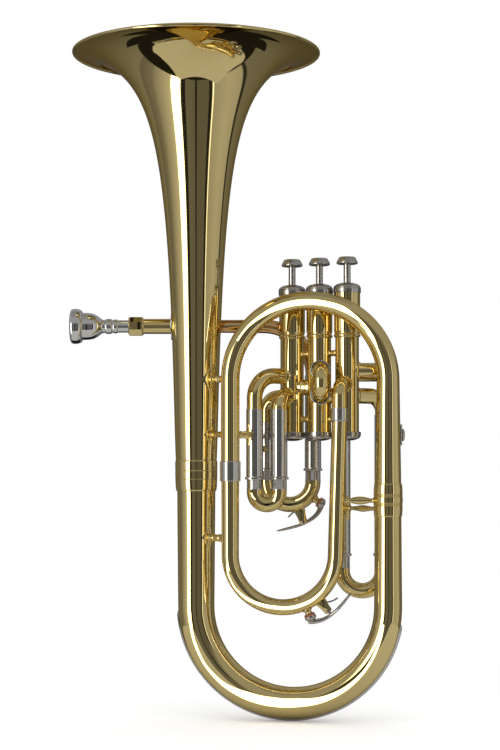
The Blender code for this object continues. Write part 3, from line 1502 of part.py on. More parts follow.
def main():
    clear_scene()
    brass = metal("lacquered_brass", (0.83, 0.64, 0.26), 0.16)
    silver = metal("nickel_silver", (0.72, 0.70, 0.66), 0.20)
    plate = metal("silver_plate", (0.85, 0.84, 0.82), 0.12)
    steel = metal("spring_steel", (0.50, 0.50, 0.52), 0.30)
    horn = joint_empty("horn_body", (0, 0, 0), None)
    for piece in make_fixed_pieces(brass, silver):
        hang_on(piece, horn)
    for number in (1, 2, 3):
        hang_on(make_valve_spring(number, steel), horn)
        travel = joint_empty(f"valve_{number}_travel", raised(valve_axis(number), PISTON_TOP_Z), horn)
        hang_on(make_piston(number, plate), travel)
        hang_on(make_finger_button(number, silver), travel)
    tuning_travel = joint_empty("tuning_travel", key_point(tuning_key(), -math.pi / 2, 0), horn)
    hang_on(make_tuning_slide(brass), tuning_travel)
    hang_on(make_key_spring(tuning_key(), steel), tuning_travel)
    slide_1_travel = joint_empty("slide_1_travel", raised(slide_1_left(), SLIDE_1_BOW_Z), horn)
    hang_on(make_slide_1(brass), slide_1_travel)
    slide_2_place = Vector((valve_axis(2).x, SLIDE_2_BOW_Y, SLIDE_2_UPPER_Z))
    slide_2_travel = joint_empty("slide_2_travel", slide_2_place, horn)
    hang_on(make_slide_2(brass), slide_2_travel)
    slide_3_travel = joint_empty("slide_3_travel", raised(slide_3_left(), SLIDE_3_BOW_Z), horn)
    hang_on(make_slide_3(brass), slide_3_travel)
    tuning_pivot = joint_empty("tuning_key_pivot", key_pivot(tuning_key()), tuning_travel)
    hang_on(make_key_lever(tuning_key(), silver), tuning_pivot)
    loop_pivot = joint_empty("loop_key_pivot", key_pivot(loop_key()), horn)
    hang_on(make_key_lever(loop_key(), silver), loop_pivot)
    hang_on(make_key_spring(loop_key(), steel), horn)
    mouth_place = (MOUTHPIECE_RIM_X, LEADPIPE_Y, LEADPIPE_Z)
    hang_on(make_mouthpiece(plate), joint_empty("mouthpiece_draw", mouth_place, horn))
    screw_place = (lyre_face_x() + FIT, BRANCH_Y, LYRE_Z)
    hang_on(make_lyre_screw(silver), joint_empty("lyre_screw_axis", screw_place, horn))


main()
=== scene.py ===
import math

import bmesh
import bpy
from mathutils import Matrix, Vector


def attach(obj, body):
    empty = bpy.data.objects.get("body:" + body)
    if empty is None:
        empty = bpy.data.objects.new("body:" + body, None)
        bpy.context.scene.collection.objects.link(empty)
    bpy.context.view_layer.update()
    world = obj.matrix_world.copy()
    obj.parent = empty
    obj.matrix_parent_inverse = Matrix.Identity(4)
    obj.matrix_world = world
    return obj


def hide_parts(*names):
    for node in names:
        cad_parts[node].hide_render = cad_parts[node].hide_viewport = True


# Alto horn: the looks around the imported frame. Tables are in millimetres, meshes end in metres.
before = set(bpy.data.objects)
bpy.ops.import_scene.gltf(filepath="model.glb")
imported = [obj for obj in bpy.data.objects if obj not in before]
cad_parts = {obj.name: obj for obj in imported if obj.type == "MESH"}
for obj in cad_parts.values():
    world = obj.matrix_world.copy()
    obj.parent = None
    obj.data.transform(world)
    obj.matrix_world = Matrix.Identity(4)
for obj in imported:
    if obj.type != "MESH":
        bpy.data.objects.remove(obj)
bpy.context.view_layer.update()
print("frame loaded,", len(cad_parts), "nodes")


# Materials

polishTable = {
    # Scale and detail of each noise
    "drift": (18.0, 3.0), "rub": (160.0, 4.0), "peel": (900.0, 1.0),
    "peelStrength": 0.01, "bumpDistance": 0.0002, "coatRoughness": 0.04,
}
metalTable = {
    # Colour, drifted colour, edge, gloss, rubbing, coat
    "lacqueredBrass": (
        (0.87, 0.71, 0.33), (0.83, 0.65, 0.28), (0.70, 0.55, 0.30), 0.03, 0.03, 0.15,
    ),
    "roseBrass": ((0.84, 0.56, 0.27), (0.78, 0.49, 0.22), (0.66, 0.46, 0.28), 0.03, 0.03, 0.15),
    "nickelSilver": ((0.72, 0.70, 0.66), (0.66, 0.64, 0.60), (0.75, 0.74, 0.72), 0.06, 0.05, 0.0),
    "handledNickel": ((0.64, 0.61, 0.57), (0.56, 0.53, 0.49), (0.60, 0.58, 0.55), 0.17, 0.07, 0.0),
    "silverPlate": ((0.84, 0.83, 0.81), (0.78, 0.77, 0.75), (0.85, 0.85, 0.85), 0.04, 0.04, 0.0),
    "springSteel": ((0.42, 0.42, 0.44), (0.34, 0.34, 0.36), (0.6, 0.6, 0.6), 0.18, 0.10, 0.0),
}
corkTable = {
    "grainScale": 1400.0, "roughness": 0.8, "bump": 0.4,
    "dark": (0.20, 0.06, 0.025), "light": (0.42, 0.17, 0.07),
}


def newLook(name):
    look = bpy.data.materials.new(name)
    look.use_nodes = True
    return look, look.node_tree.nodes, look.node_tree.links


def feed(links, node, inputs):
    # Each input, known by its label or its place, gets a value or a link
    for label, value in inputs.items():
        if isinstance(value, bpy.types.NodeSocket):
            links.new(value, node.inputs[label])
        else:
            node.inputs[label].default_value = value
    return node


def mathNode(nodes, links, operation, first, second):
    node = nodes.new("ShaderNodeMath")
    node.operation = operation
    return feed(links, node, {0: first, 1: second}).outputs[0]


def noiseNode(nodes, links, place, scale, detail):
    node = nodes.new("ShaderNodeTexNoise")
    return feed(links, node, {"Vector": place, "Scale": scale, "Detail": detail}).outputs["Fac"]


def mixedColour(nodes, links, share, first, second):
    tint = nodes.new("ShaderNodeMix")
    tint.data_type = "RGBA"
    return feed(links, tint, {"Factor": share, "A": first, "B": second}).outputs["Result"]


def bumpedNormal(nodes, links, height, strength):
    inputs = {"Strength": strength, "Distance": polishTable["bumpDistance"], "Height": height}
    return feed(links, nodes.new("ShaderNodeBump"), inputs).outputs["Normal"]


def makePolishGroup(table):
    # Hand-polished metal: slow drift of the lacquer, faint rubbing and a fine orange peel
    group = bpy.data.node_groups.new("handPolish", "ShaderNodeTree")
    inputs = {"Gloss": 0.08, "Rubbing": 0.04, "Drift Scale": table["drift"][0]}
    for label, value in inputs.items():
        socket = group.interface.new_socket(label, in_out="INPUT", socket_type="NodeSocketFloat")
        socket.default_value = value
    for label in ("Roughness", "Drift", "Peel"):
        group.interface.new_socket(label, in_out="OUTPUT", socket_type="NodeSocketFloat")
    nodes, links = group.nodes, group.links
    given = nodes.new("NodeGroupInput").outputs
    place = nodes.new("ShaderNodeTexCoord").outputs["Object"]
    rub = noiseNode(nodes, links, place, *table["rub"])
    rubbed = mathNode(nodes, links, "MULTIPLY", rub, given["Rubbing"])
    feed(links, nodes.new("NodeGroupOutput"), {
        "Roughness": mathNode(nodes, links, "ADD", rubbed, given["Gloss"]),
        "Drift": noiseNode(nodes, links, place, given["Drift Scale"], table["drift"][1]),
        "Peel": noiseNode(nodes, links, place, *table["peel"]),
    })
    return group


def polishedMetal(name, colour, driftColour, edge, gloss, rubbing, coat):
    look, nodes, links = newLook(name)
    look.diffuse_color = (*colour, 1)
    polish = nodes.new("ShaderNodeGroup")
    polish.node_tree = polishGroup
    made = feed(links, polish, {"Gloss": gloss, "Rubbing": rubbing}).outputs
    feed(links, nodes["Principled BSDF"], {
        "Metallic": 1.0, "Specular Tint": (*edge, 1), "Coat Weight": coat,
        "Coat Roughness": polishTable["coatRoughness"], "Roughness": made["Roughness"],
        "Base Color": mixedColour(nodes, links, made["Drift"], (*colour, 1), (*driftColour, 1)),
        "Normal": bumpedNormal(nodes, links, made["Peel"], polishTable["peelStrength"]),
    })
    return look


def corkMaterial(table):
    look, nodes, links = newLook("keyCork")
    place = nodes.new("ShaderNodeTexCoord").outputs["Object"]
    grain = nodes.new("ShaderNodeTexVoronoi")
    grain = feed(links, grain, {"Vector": place, "Scale": table["grainScale"]}).outputs["Distance"]
    feed(links, nodes["Principled BSDF"], {
        "Roughness": table["roughness"],
        "Base Color": mixedColour(nodes, links, grain, (*table["dark"], 1), (*table["light"], 1)),
        "Normal": bumpedNormal(nodes, links, grain, table["bump"]),
    })
    return look


polishGroup = makePolishGroup(polishTable)
brass, roseBrass, nickel, handledNickel, silver, steel = (
    polishedMetal(name, *values) for name, values in metalTable.items()
)
cork = corkMaterial(corkTable)
print("materials made")


# Shapes

def smoothLine(points, gaps=8):
    # A curve through the points, with the given number of steps between two of them
    line = []
    ends = [points[0], *points, points[-1]]
    for first, second, third, fourth in zip(ends, ends[1:], ends[2:], ends[3:]):
        for step in range(gaps):
            t = step / gaps
            line.append(tuple(
                0.5 * (2 * q + (r - p) * t + (2 * p - 5 * q + 4 * r - s) * t ** 2
                       + (3 * q - p - 3 * r + s) * t ** 3)
                for p, q, r, s in zip(first, second, third, fourth)
            ))
    return [*line, tuple(points[-1])]


def softened(profile, cut=0.25, steps=3):
    # The profile with each inner corner rounded off, and a point close by that keeps flats flat
    corners = [Vector(corner) for corner in profile]
    line = [corners[0]]
    support = cut + 0.14
    for before, corner, after in zip(corners, corners[1:], corners[2:]):
        back, ahead = before - corner, after - corner
        start = corner + back * min(0.45, cut / back.length)
        end = corner + ahead * min(0.45, cut / ahead.length)
        if support < back.length * 0.48:
            line.append(corner + back.normalized() * support)
        for step in range(steps + 1):
            t = step / steps
            line.append(start * (1 - t) ** 2 + corner * 2 * t * (1 - t) + end * t ** 2)
        if support < ahead.length * 0.48:
            line.append(corner + ahead.normalized() * support)
    return [tuple(point) for point in [*line, corners[-1]]]


def placeShape(shape, base, along=(0, 0, 1)):
    turn = Vector((0, 0, 1)).rotation_difference(Vector(along)).to_matrix().to_4x4()
    bmesh.ops.transform(shape, matrix=Matrix.Translation(base) @ turn, verts=shape.verts)
    return shape


def turned(profile, base=(0, 0, 0), along=(0, 0, 1), steps=64, closed=False):
    # The profile is (radius, distance along the axis)
    shape = bmesh.new()
    corners = [shape.verts.new((radius, 0, height)) for radius, height in profile]
    pairs = list(zip(corners, corners[1:]))
    if closed:
        pairs.append((corners[-1], corners[0]))
    edges = [shape.edges.new(pair) for pair in pairs]
    bmesh.ops.spin(
        shape, geom=corners + edges, axis=(0, 0, 1), cent=(0, 0, 0),
        angle=2 * math.pi, steps=steps, use_merge=True,
    )
    return placeShape(shape, base, along)


def bentPath(corners, bends, degrees=5):
    # A run through the corners, with an arc of the given bend radius at each inner corner
    corners = [Vector(corner) for corner in corners]
    points = [corners[0]]
    for before, corner, after, bend in zip(corners, corners[1:], corners[2:], bends):
        incoming = (corner - before).normalized()
        outgoing = (after - corner).normalized()
        turn = incoming.angle(outgoing)
        inward = (outgoing - incoming * incoming.dot(outgoing)).normalized()
        start = corner - incoming * bend * math.tan(turn / 2)
        centre = start + inward * bend
        steps = max(2, math.ceil(math.degrees(turn) / degrees))
        for step in range(steps + 1):
            angle = turn * step / steps
            points.append(
                centre - inward * bend * math.cos(angle) + incoming * bend * math.sin(angle)
            )
    points.append(corners[-1])
    kept = [points[0]]
    for point in points[1:]:
        if (point - kept[-1]).length > 0.05:
            kept.append(point)
    return kept


def spoke(degrees):
    # Out from the middle of a bend that lies in a plane of constant Y
    angle = math.radians(degrees)
    return Vector((math.cos(angle), 0, math.sin(angle)))


def bowPoints(centre, bend, fromDegrees, toDegrees, step):
    return [centre + spoke(degrees) * bend for degrees in range(fromDegrees, toDegrees + 1, step)]


def gradedRadii(path, stages):
    # Radius at each point, from (distance along the path, radius) stages
    radii, length = [], 0.0
    for index, point in enumerate(path):
        if index:
            length += (point - path[index - 1]).length
        for (start, first), (end, second) in zip(stages, stages[1:]):
            if length <= end or (end, second) == stages[-1]:
                share = min(1, max(0, (length - start) / (end - start)))
                radii.append(first + (second - first) * share)
                break
    return radii


def stationPlaces(path, radii):
    # A matrix at each point of the path, whose z runs along it
    places = []
    turn = Matrix.Identity(3)
    for index, point in enumerate(path):
        before = path[max(0, index - 1)]
        after = path[min(len(path) - 1, index + 1)]
        along = (after - before).normalized()
        turn = (turn @ Vector((0, 0, 1))).rotation_difference(along).to_matrix() @ turn
        size = Matrix.Diagonal((radii[index], radii[index], 1, 1))
        places.append(Matrix.Translation(point) @ turn.to_4x4() @ size)
    return places


def grownRing(shape, edges):
    # The ring that a loop of edges grows into, and the edges between its vertices
    made = bmesh.ops.extrude_edge_only(shape, edges=edges)["geom"]
    ring = {part for part in made if isinstance(part, bmesh.types.BMVert)}
    lines = [part for part in made if isinstance(part, bmesh.types.BMEdge)]
    return list(ring), [line for line in lines if ring.issuperset(line.verts)]


def swept(path, radii, sides=40):
    # A tube along the path, open at its ends, and its first ring
    path = [Vector(point) for point in path]
    if isinstance(radii, (int, float)):
        radii = [radii] * len(path)
    shape = bmesh.new()
    ring = start = bmesh.ops.create_circle(shape, radius=1, segments=sides)["verts"]
    edges = list(shape.edges)
    places = stationPlaces(path, radii)
    bmesh.ops.transform(shape, matrix=places[0], verts=ring)
    for before, after in zip(places, places[1:]):
        ring, edges = grownRing(shape, edges)
        bmesh.ops.transform(shape, matrix=after @ before.inverted(), verts=ring)
    return shape, start


def tubeShape(path, radii, sides=40):
    shape = swept(path, radii, sides)[0]
    bmesh.ops.holes_fill(shape, edges=shape.edges, sides=0)
    return shape


def skinned(rows, closed=True):
    # A skin over rows of points; rows that are loops are closed at both ends
    shape = bmesh.new()
    previous = []
    for points in rows:
        row = [shape.verts.new(point) for point in points]
        following = row[1:] + row[:1] if closed else row[1:]
        edges = [shape.edges.new(pair) for pair in zip(row, following)]
        if previous:
            bmesh.ops.bridge_loops(shape, edges=previous + edges)
        previous = edges
    if closed:
        bmesh.ops.holes_fill(shape, edges=shape.edges, sides=0)
    return shape


def rounded(shape, edges, offset, segments):
    bmesh.ops.bevel(
        shape, geom=edges, offset=offset, offset_type="OFFSET", segments=segments, profile=0.5,
        affect="EDGES", material=-1, clamp_overlap=True,
    )
    return shape


def slab(outline, depth, offset, segments):
    # The outline pushed out by the depth, with rounded rims
    shape = bmesh.new()
    face = shape.faces.new([shape.verts.new(point) for point in outline])
    made = bmesh.ops.extrude_face_region(shape, geom=[face])["geom"]
    moved = [part for part in made if isinstance(part, bmesh.types.BMVert)]
    bmesh.ops.translate(shape, vec=depth, verts=moved)
    bmesh.ops.recalc_face_normals(shape, faces=shape.faces)
    rims = [edge for edge in shape.edges if edge.calc_face_angle(0) > 1]
    return rounded(shape, rims, offset, segments)


def block(size, offset, segments):
    shape = bmesh.new()
    bmesh.ops.create_cube(shape, size=1)
    bmesh.ops.scale(shape, vec=size, verts=shape.verts)
    return rounded(shape, shape.edges, offset, segments)


def mirrored(half, length):
    # A profile and its mirror image, for a turned piece that is the same at both ends
    return [*half, *((radius, length - place) for radius, place in half[::-1])]


def wrappedPlate(rows, edge=0.35, power=6, sides=6):
    # A thin plate round a tube; each row is (centre, out, side, radius, half its angle, lift)
    rings = []
    for centre, out, side, radius, half, lift in rows:
        rings.append([])
        for sense, height in ((1, lift), (-1, 0.0)):
            for step in range(2 * sides + 1):
                part = step / sides - 1
                angle = sense * half * part
                reach = radius + height * (1 - (1 - edge) * abs(part) ** power)
                rings[-1].append(
                    centre + out * reach * math.cos(angle) + side * reach * math.sin(angle)
                )
    return skinned(rings)


def diamondFlange(foot, along, radii, halfLength, halfDegrees, lift=0.7):
    # A lozenge soldered round an upright tube, where a post meets it
    out = Vector((along.x, along.y, 0)).normalized()
    side = Vector((0, 0, 1)).cross(out)
    rows = []
    for step in range(17):
        part = step / 8 - 1
        half = math.radians(halfDegrees) * max(0.07, 1 - abs(part)) ** 0.85
        radius = radii[0] + (radii[1] - radii[0]) * step / 16 - 0.05
        rows.append((foot + Vector((0, 0, part * halfLength)), out, side, radius, half, lift))
    return wrappedPlate(rows)


def addPiece(name, shapes, look, body, nodes=(), sharp=40):
    # One object from the shapes, riding on its body in place of the nodes
    whole, *others = shapes
    for other in others:
        spare = bpy.data.meshes.new("spare")
        other.to_mesh(spare)
        other.free()
        whole.from_mesh(spare)
        bpy.data.meshes.remove(spare)
    bmesh.ops.remove_doubles(whole, verts=whole.verts, dist=0.001)
    bmesh.ops.recalc_face_normals(whole, faces=whole.faces)
    bmesh.ops.scale(whole, vec=(0.001, 0.001, 0.001), verts=whole.verts)
    mesh = bpy.data.meshes.new(name)
    whole.to_mesh(mesh)
    whole.free()
    mesh.shade_smooth()
    mesh.set_sharp_from_angle(angle=math.radians(sharp))
    mesh.materials.append(look)
    piece = bpy.data.objects.new(name, mesh)
    bpy.context.scene.collection.objects.link(piece)
    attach(piece, body)
    if nodes:
        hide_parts(*nodes)
    return piece


def brassPiece(name, shapes, nodes=(), body="horn_body"):
    return addPiece(name, shapes, brass, body, nodes)


def nickelPiece(name, shapes, nodes=(), body="horn_body", look=nickel):
    return addPiece(name, shapes, look, body, nodes)


# Places that several pieces share
bellAxis = Vector((-77.70, 13.98, 0))
branchAxis = Vector((77.70, -13.98, 0))
bowCentreZ = 93.75
bowBend = 78.95
bowTurn = math.radians(10.2)
loopLeft = Vector((-49.5, -13.98, 0))
valveAxes = {
    1: Vector((1.24, 25.495, 0)), 2: Vector((23.5, 16.0, 0)), 3: Vector((45.76, 6.505, 0)),
}


def raised(place, height):
    return Vector((place[0], place[1], height))


# Bell

bellTable = {
    "profile": (
        (15.8, 199.7), (15.95, 206.0), (16.9, 214.0), (17.55, 232.0), (18.05, 250.0),
        (19.21, 292.1), (20.69, 332.1), (22.48, 367.1), (24.55, 397.1), (26.78, 421.1),
        (29.21, 441.1), (32.07, 459.1), (35.41, 475.1), (39.27, 489.1), (43.66, 501.1),
        (48.47, 511.1), (53.47, 519.1), (59.11, 526.1), (65.35, 532.1), (71.31, 536.6),
        (77.17, 540.1), (84.15, 543.1), (91.5, 544.9), (98.6, 545.7),
    ),
    "wall": 0.7,
    "rim": (101.6, 547.1),
    "beadRadius": 1.35,
}


def bellRadius(height):
    profile = bellTable["profile"]
    for (lowRadius, low), (highRadius, high) in zip(profile, profile[1:]):
        if low <= height <= high:
            return lowRadius + (highRadius - lowRadius) * (height - low) / (high - low)
    return profile[-1][0]


def makeBell(table):
    outer = smoothLine(table["profile"], 6)
    inner = []
    for index, (radius, height) in enumerate(outer):
        before, after = outer[max(0, index - 1)], outer[min(len(outer) - 1, index + 1)]
        slope = Vector((after[0] - before[0], after[1] - before[1])).normalized()
        inner.append((radius - slope.y * table["wall"], height + slope.x * table["wall"]))
    rimRadius, rimZ = table["rim"]
    bead = table["beadRadius"]
    roll = [
        (rimRadius - bead + bead * math.cos(angle), rimZ - bead + bead * math.sin(angle))
        for angle in (math.radians(degrees) for degrees in range(-150, 151, 20))
    ]
    profile = outer + roll + inner[::-1]
    brassPiece("bell_flare", [turned(profile, bellAxis, steps=160, closed=True)], ["bell"])


makeBell(bellTable)

ferruleTable = {
    "bell_joint_ferrule": {
        "node": "bell_ferrule", "at": bellAxis, "look": "brass",
        "profile": (
            (15.4, 187.0), (16.35, 187.0), (16.6, 187.9), (16.95, 190.5), (17.2, 196.2),
            (17.25, 196.5), (16.95, 196.65), (17.25, 196.8), (17.3, 203.4), (17.0, 203.65),
            (17.3, 203.9), (17.35, 209.6), (17.2, 211.4), (16.95, 212.2), (15.4, 212.2),
        ),
    },
    "branch_joint_ferrule": {
        "node": "branch_ferrule", "at": branchAxis, "look": "brass",
        "profile": (
            (10.2, 166.7), (11.1, 166.7), (11.35, 167.4), (11.6, 171.5), (11.75, 175.3),
            (11.35, 175.6), (11.35, 175.9), (11.85, 176.2), (11.85, 176.7), (11.4, 177.0),
            (11.4, 177.3), (11.8, 177.6), (11.9, 180.0), (11.8, 182.4), (11.4, 182.7),
            (11.4, 183.0), (11.85, 183.3), (11.85, 183.8), (11.35, 184.1), (11.35, 184.4),
            (11.75, 184.7), (11.55, 189.5), (11.25, 192.6), (11.0, 193.2), (10.2, 193.2),
        ),
    },
    "left_loop_sleeve": {
        "node": "left_loop_ferrule", "at": loopLeft, "look": "nickel",
        "profile": (
            (7.0, 195.1), (8.05, 195.1), (8.3, 195.5), (8.4, 196.3), (8.4, 210.1),
            (8.3, 210.9), (8.05, 211.3), (7.0, 211.3),
        ),
    },
    "right_loop_sleeve": {
        "node": "right_loop_ferrule", "at": Vector((38.4, -13.98, 0)), "look": "nickel",
        "profile": (
            (5.8, 243.1), (6.9, 243.1), (7.0, 243.6), (6.75, 244.2), (6.6, 244.5),
            (6.6, 253.4), (6.7, 253.7), (6.6, 254.2), (5.8, 254.2),
        ),
    },
}


def makeFerrules(table):
    for name, values in table.items():
        shape = turned(softened(values["profile"], 0.2), values["at"], closed=True)
        make = brassPiece if values["look"] == "brass" else nickelPiece
        make(name, [shape], [values["node"]])


makeFerrules(ferruleTable)
print("bell and ferrules made")


# Bottom bow with its guard

bowTable = {
    "bellEnd": 15.8, "bellBend": 14.9, "lowest": 13.0, "branchBend": 11.3, "branchEnd": 10.6,
    "tops": (199.4, 179.8),
    "guardFrom": -177, "guardTo": -9, "guardThickness": 1.5, "guardHalfAngle": 17,
}


def bowPoint(across, height):
    return Vector((across * math.cos(bowTurn), -across * math.sin(bowTurn), height))


def bowRadius(degrees):
    share = 1 + degrees / 180
    ends = ("bellBend", "lowest", "branchBend")
    line = smoothLine([(bowTable[end],) for end in ends], 60)
    return line[round(min(1, max(0, share)) * (len(line) - 1))][0]


def bowMiddle(degrees):
    angle = math.radians(degrees)
    return bowPoint(bowBend * math.cos(angle), bowCentreZ + bowBend * math.sin(angle))


def makeBottomBow(table):
    turns = range(-180, 1, 3)
    bellTop, branchTop = table["tops"]
    points = [bowPoint(-bowBend, bellTop), *map(bowMiddle, turns), bowPoint(bowBend, branchTop)]
    radii = [table["bellEnd"], *map(bowRadius, turns), table["branchEnd"]]
    brassPiece("bottom_bow_tube", [tubeShape(points, radii, 72)], ["bottom_bow"])


def makeGuard(table):
    side = Vector((math.sin(bowTurn), math.cos(bowTurn), 0))
    rows = []
    count = (table["guardTo"] - table["guardFrom"]) // 2
    for step in range(count + 1):
        degrees = table["guardFrom"] + 2 * step
        centre = bowMiddle(degrees)
        out = (centre - Vector((0, 0, bowCentreZ))).normalized()
        fromEnd = min(1, min(step, count - step) / 3)
        share = min(1, math.sqrt(1 - (1 - fromEnd) ** 2) + 0.05)
        half = math.radians(table["guardHalfAngle"]) * share
        lift = table["guardThickness"] * min(1, share + 0.3)
        rows.append((centre, out, side, bowRadius(degrees) + 0.05, half, lift))
    nickelPiece("bow_guard_strip", [wrappedPlate(rows, 0.1, 2.4)], ["bow_guard"])


makeBottomBow(bowTable)
makeGuard(bowTable)
print("bottom bow made")


# Branch, arch and inner loop, which share a plane

archTable = {
    "springZ": 277.0, "centreX": 14.1, "bend": 63.6,
    "foot": 180.1, "ferruleTop": 193.2, "leftFoot": 203.4, "footRadius": 10.6,
    "branchRadius": 9.2, "topRadius": 7.6, "leftRadius": 7.5,
}
loopTable = {
    "bend": 42.5, "centreX": -7.0, "centreZ": 136.1, "rightTopX": 38.4,
    "leftTop": 203.1, "rightTops": (243.2, 248.6), "leftLength": 67, "rightLength": 107,
    "leftRadius": 7.2, "bendRadius": 6.5, "rightRadius": 6.1,
}


def makeArch(table):
    centre = Vector((table["centreX"], branchAxis.y, table["springZ"]))
    points = [
        raised(branchAxis, table["foot"]), raised(branchAxis, table["ferruleTop"]),
        *bowPoints(centre, table["bend"], 0, 180, 3), raised(loopLeft, table["leftFoot"]),
    ]
    quarter = table["bend"] * math.pi / 2
    toSpring = table["springZ"] - table["foot"]
    foot, left = table["footRadius"], table["leftRadius"]
    stages = (
        (0, foot), (table["ferruleTop"] - table["foot"], foot), (toSpring, table["branchRadius"]),
        (toSpring + quarter, table["topRadius"]), (toSpring + quarter * 2, left), (10000, left),
    )
    tube = tubeShape(points, gradedRadii(points, stages), 56)
    brassPiece("branch_arch_tube", [tube], ["branch_and_arch"])


def makeInnerLoop(table):
    centre = Vector((table["centreX"], branchAxis.y, table["centreZ"]))
    right = Vector((table["rightTopX"], branchAxis.y, 0))
    points = [
        raised(loopLeft, table["leftTop"]), *bowPoints(centre, table["bend"], 180, 360, 4),
        *(raised(right, height) for height in table["rightTops"]),
    ]
    left, bottom, bend = table["leftRadius"], table["leftLength"], table["bendRadius"]
    quarter = table["bend"] * math.pi / 2
    stages = (
        (0, left), (bottom, left - 0.3), (bottom + quarter, bend),
        (bottom + quarter * 2, bend - 0.1),
        (bottom + quarter * 2 + table["rightLength"], table["rightRadius"]),
        (10000, table["rightRadius"]),
    )
    tube = tubeShape(points, gradedRadii(points, stages), 48)
    brassPiece("inner_loop_tube", [tube, *keyMounts(loopKey)], ["inner_loop"])


# Water keys: places by angle around the bend that carries them, heights above the bent tube

tuningKey = {
    "name": "tuning", "centre": (-0.2, 40.0, 194.6), "bend": 19.2, "tube": 6.4,
    "cup": -35.2, "cupTop": 9.5, "pivot": -71.6, "pivotHeight": 10.0,
    "lever": (
        (-29.9, 5.9), (-42.4, 8.4), (-55.2, 10.2), (-72.3, 11.3), (-87.2, 12.8), (-105, 17.3),
    ),
    "spring": ((-74.5, 6.4), (-78.0, 2.6), (-81.5, 0.5), (-86.0, 1.0), (-92.7, 4.2)),
    "body": "tuning_key", "tubeBody": "main_tuning_slide",
}
loopKey = {
    "name": "loop", "centre": (-7.0, -13.98, 136.1), "bend": 42.5, "tube": 6.4,
    "cup": -66.3, "cupTop": 9.8, "pivot": -51.3, "pivotHeight": 9.2,
    "lever": (
        (-69.6, 8.4), (-65.0, 10.5), (-58.6, 12.5), (-51.0, 13.3), (-42.0, 13.2), (-29.0, 14.2),
    ),
    "spring": ((-53.0, 5.6), (-50.0, 2.6), (-47.5, 3.4), (-43.0, 5.8), (-38.3, 7.4)),
    "body": "loop_key", "tubeBody": "horn_body",
}
keySizes = {
    "nipple": (
        (0, 0), (3.8, 0), (3.8, 1.8), (2.6, 2.4), (2.6, 3.3), (3.0, 3.6), (3.0, 4.2), (2.0, 4.4),
        (0, 4.4),
    ),
    "nippleFoot": -1.2,
    # Half a lug: across, then a height and the share of the pivot's height that it adds to
    "lug": (
        (4.6, -1.6, 0), (4.6, 0.4, 0), (3.6, 0, 0.5), (3.3, 0, 1), (2.9, 0.9, 1), (1.9, 1.5, 1),
    ),
    "lugInner": 1.5, "lugThickness": 1.5,
    # The cup ends in a short neck up to the lever
    "cup": (
        (0, 5.9), (3.8, 5.9), (4.2, 5.1), (4.7, 5.1), (4.7, 6.9), (4.2, 7.8), (3.2, 8.6),
        (2.0, 9.1), (1.7, 9.3),
    ),
    "pad": ((0, 3.3), (4.1, 3.3), (4.4, 3.6), (4.4, 6.0), (0, 6.0)),
    "barrel": ((0, 0), (1.8, 0), (1.8, 2.9), (0, 2.9)),
    "halfPin": ((0, 0), (1.1, 0), (1.35, 0.3), (1.35, 0.7), (0.8, 0.7)), "pinLength": 7.2,
    "web": (2.6, 2.5), "leastWeb": 2.0, "webLap": 0.6,
    # Shares of the lever's length: its round heel, where the spoon widens, and its round tip
    "heel": 0.07, "widens": (0.5, 0.8), "tip": 0.86,
    "leverWidth": 2.6, "thumbWidth": 8.0, "dish": 0.5,
    "leverDepth": ((0, 3.6), (0.1, 4.6), (0.4, 3.5), (0.6, 2.7), (1, 1.6)),
    "wire": 0.62, "wireApart": 0.85,
}


def keyPoint(key, degrees, height):
    return Vector(key["centre"]) + spoke(degrees) * (key["bend"] + key["tube"] + height)


def keyTurn(key):
    # From across, depth and height at the pivot to the horn
    out = spoke(key["pivot"])
    return Matrix((Vector((0, 1, 0)).cross(out), Vector((0, 1, 0)), out)).transposed().to_4x4()


def keyMounts(key):
    # The nipple, its foot ring, and the two lugs that hold the pivot
    sizes = keySizes
    foot = keyPoint(key, key["cup"], sizes["nippleFoot"])
    shapes = [turned(softened(sizes["nipple"], 0.3), foot, spoke(key["cup"]), 40)]
    half = [
        (across, 0, height + share * key["pivotHeight"]) for across, height, share in sizes["lug"]
    ]
    outline = half + [(-across, 0, height) for across, _, height in half[::-1]]
    thick = sizes["lugThickness"]
    for low in (-sizes["lugInner"] - thick, sizes["lugInner"]):
        lug = slab(outline, (0, thick, 0), 0.4, 2)
        place = Matrix.Translation(keyPoint(key, key["pivot"], 0) + Vector((0, low, 0)))
        bmesh.ops.transform(lug, matrix=place @ keyTurn(key), verts=lug.verts)
        shapes.append(lug)
    return shapes


def stagedValue(stages, share):
    for (low, first), (high, second) in zip(stages, stages[1:]):
        if low <= share <= high:
            value = first + (second - first) * (share - low) / (high - low)
    return value


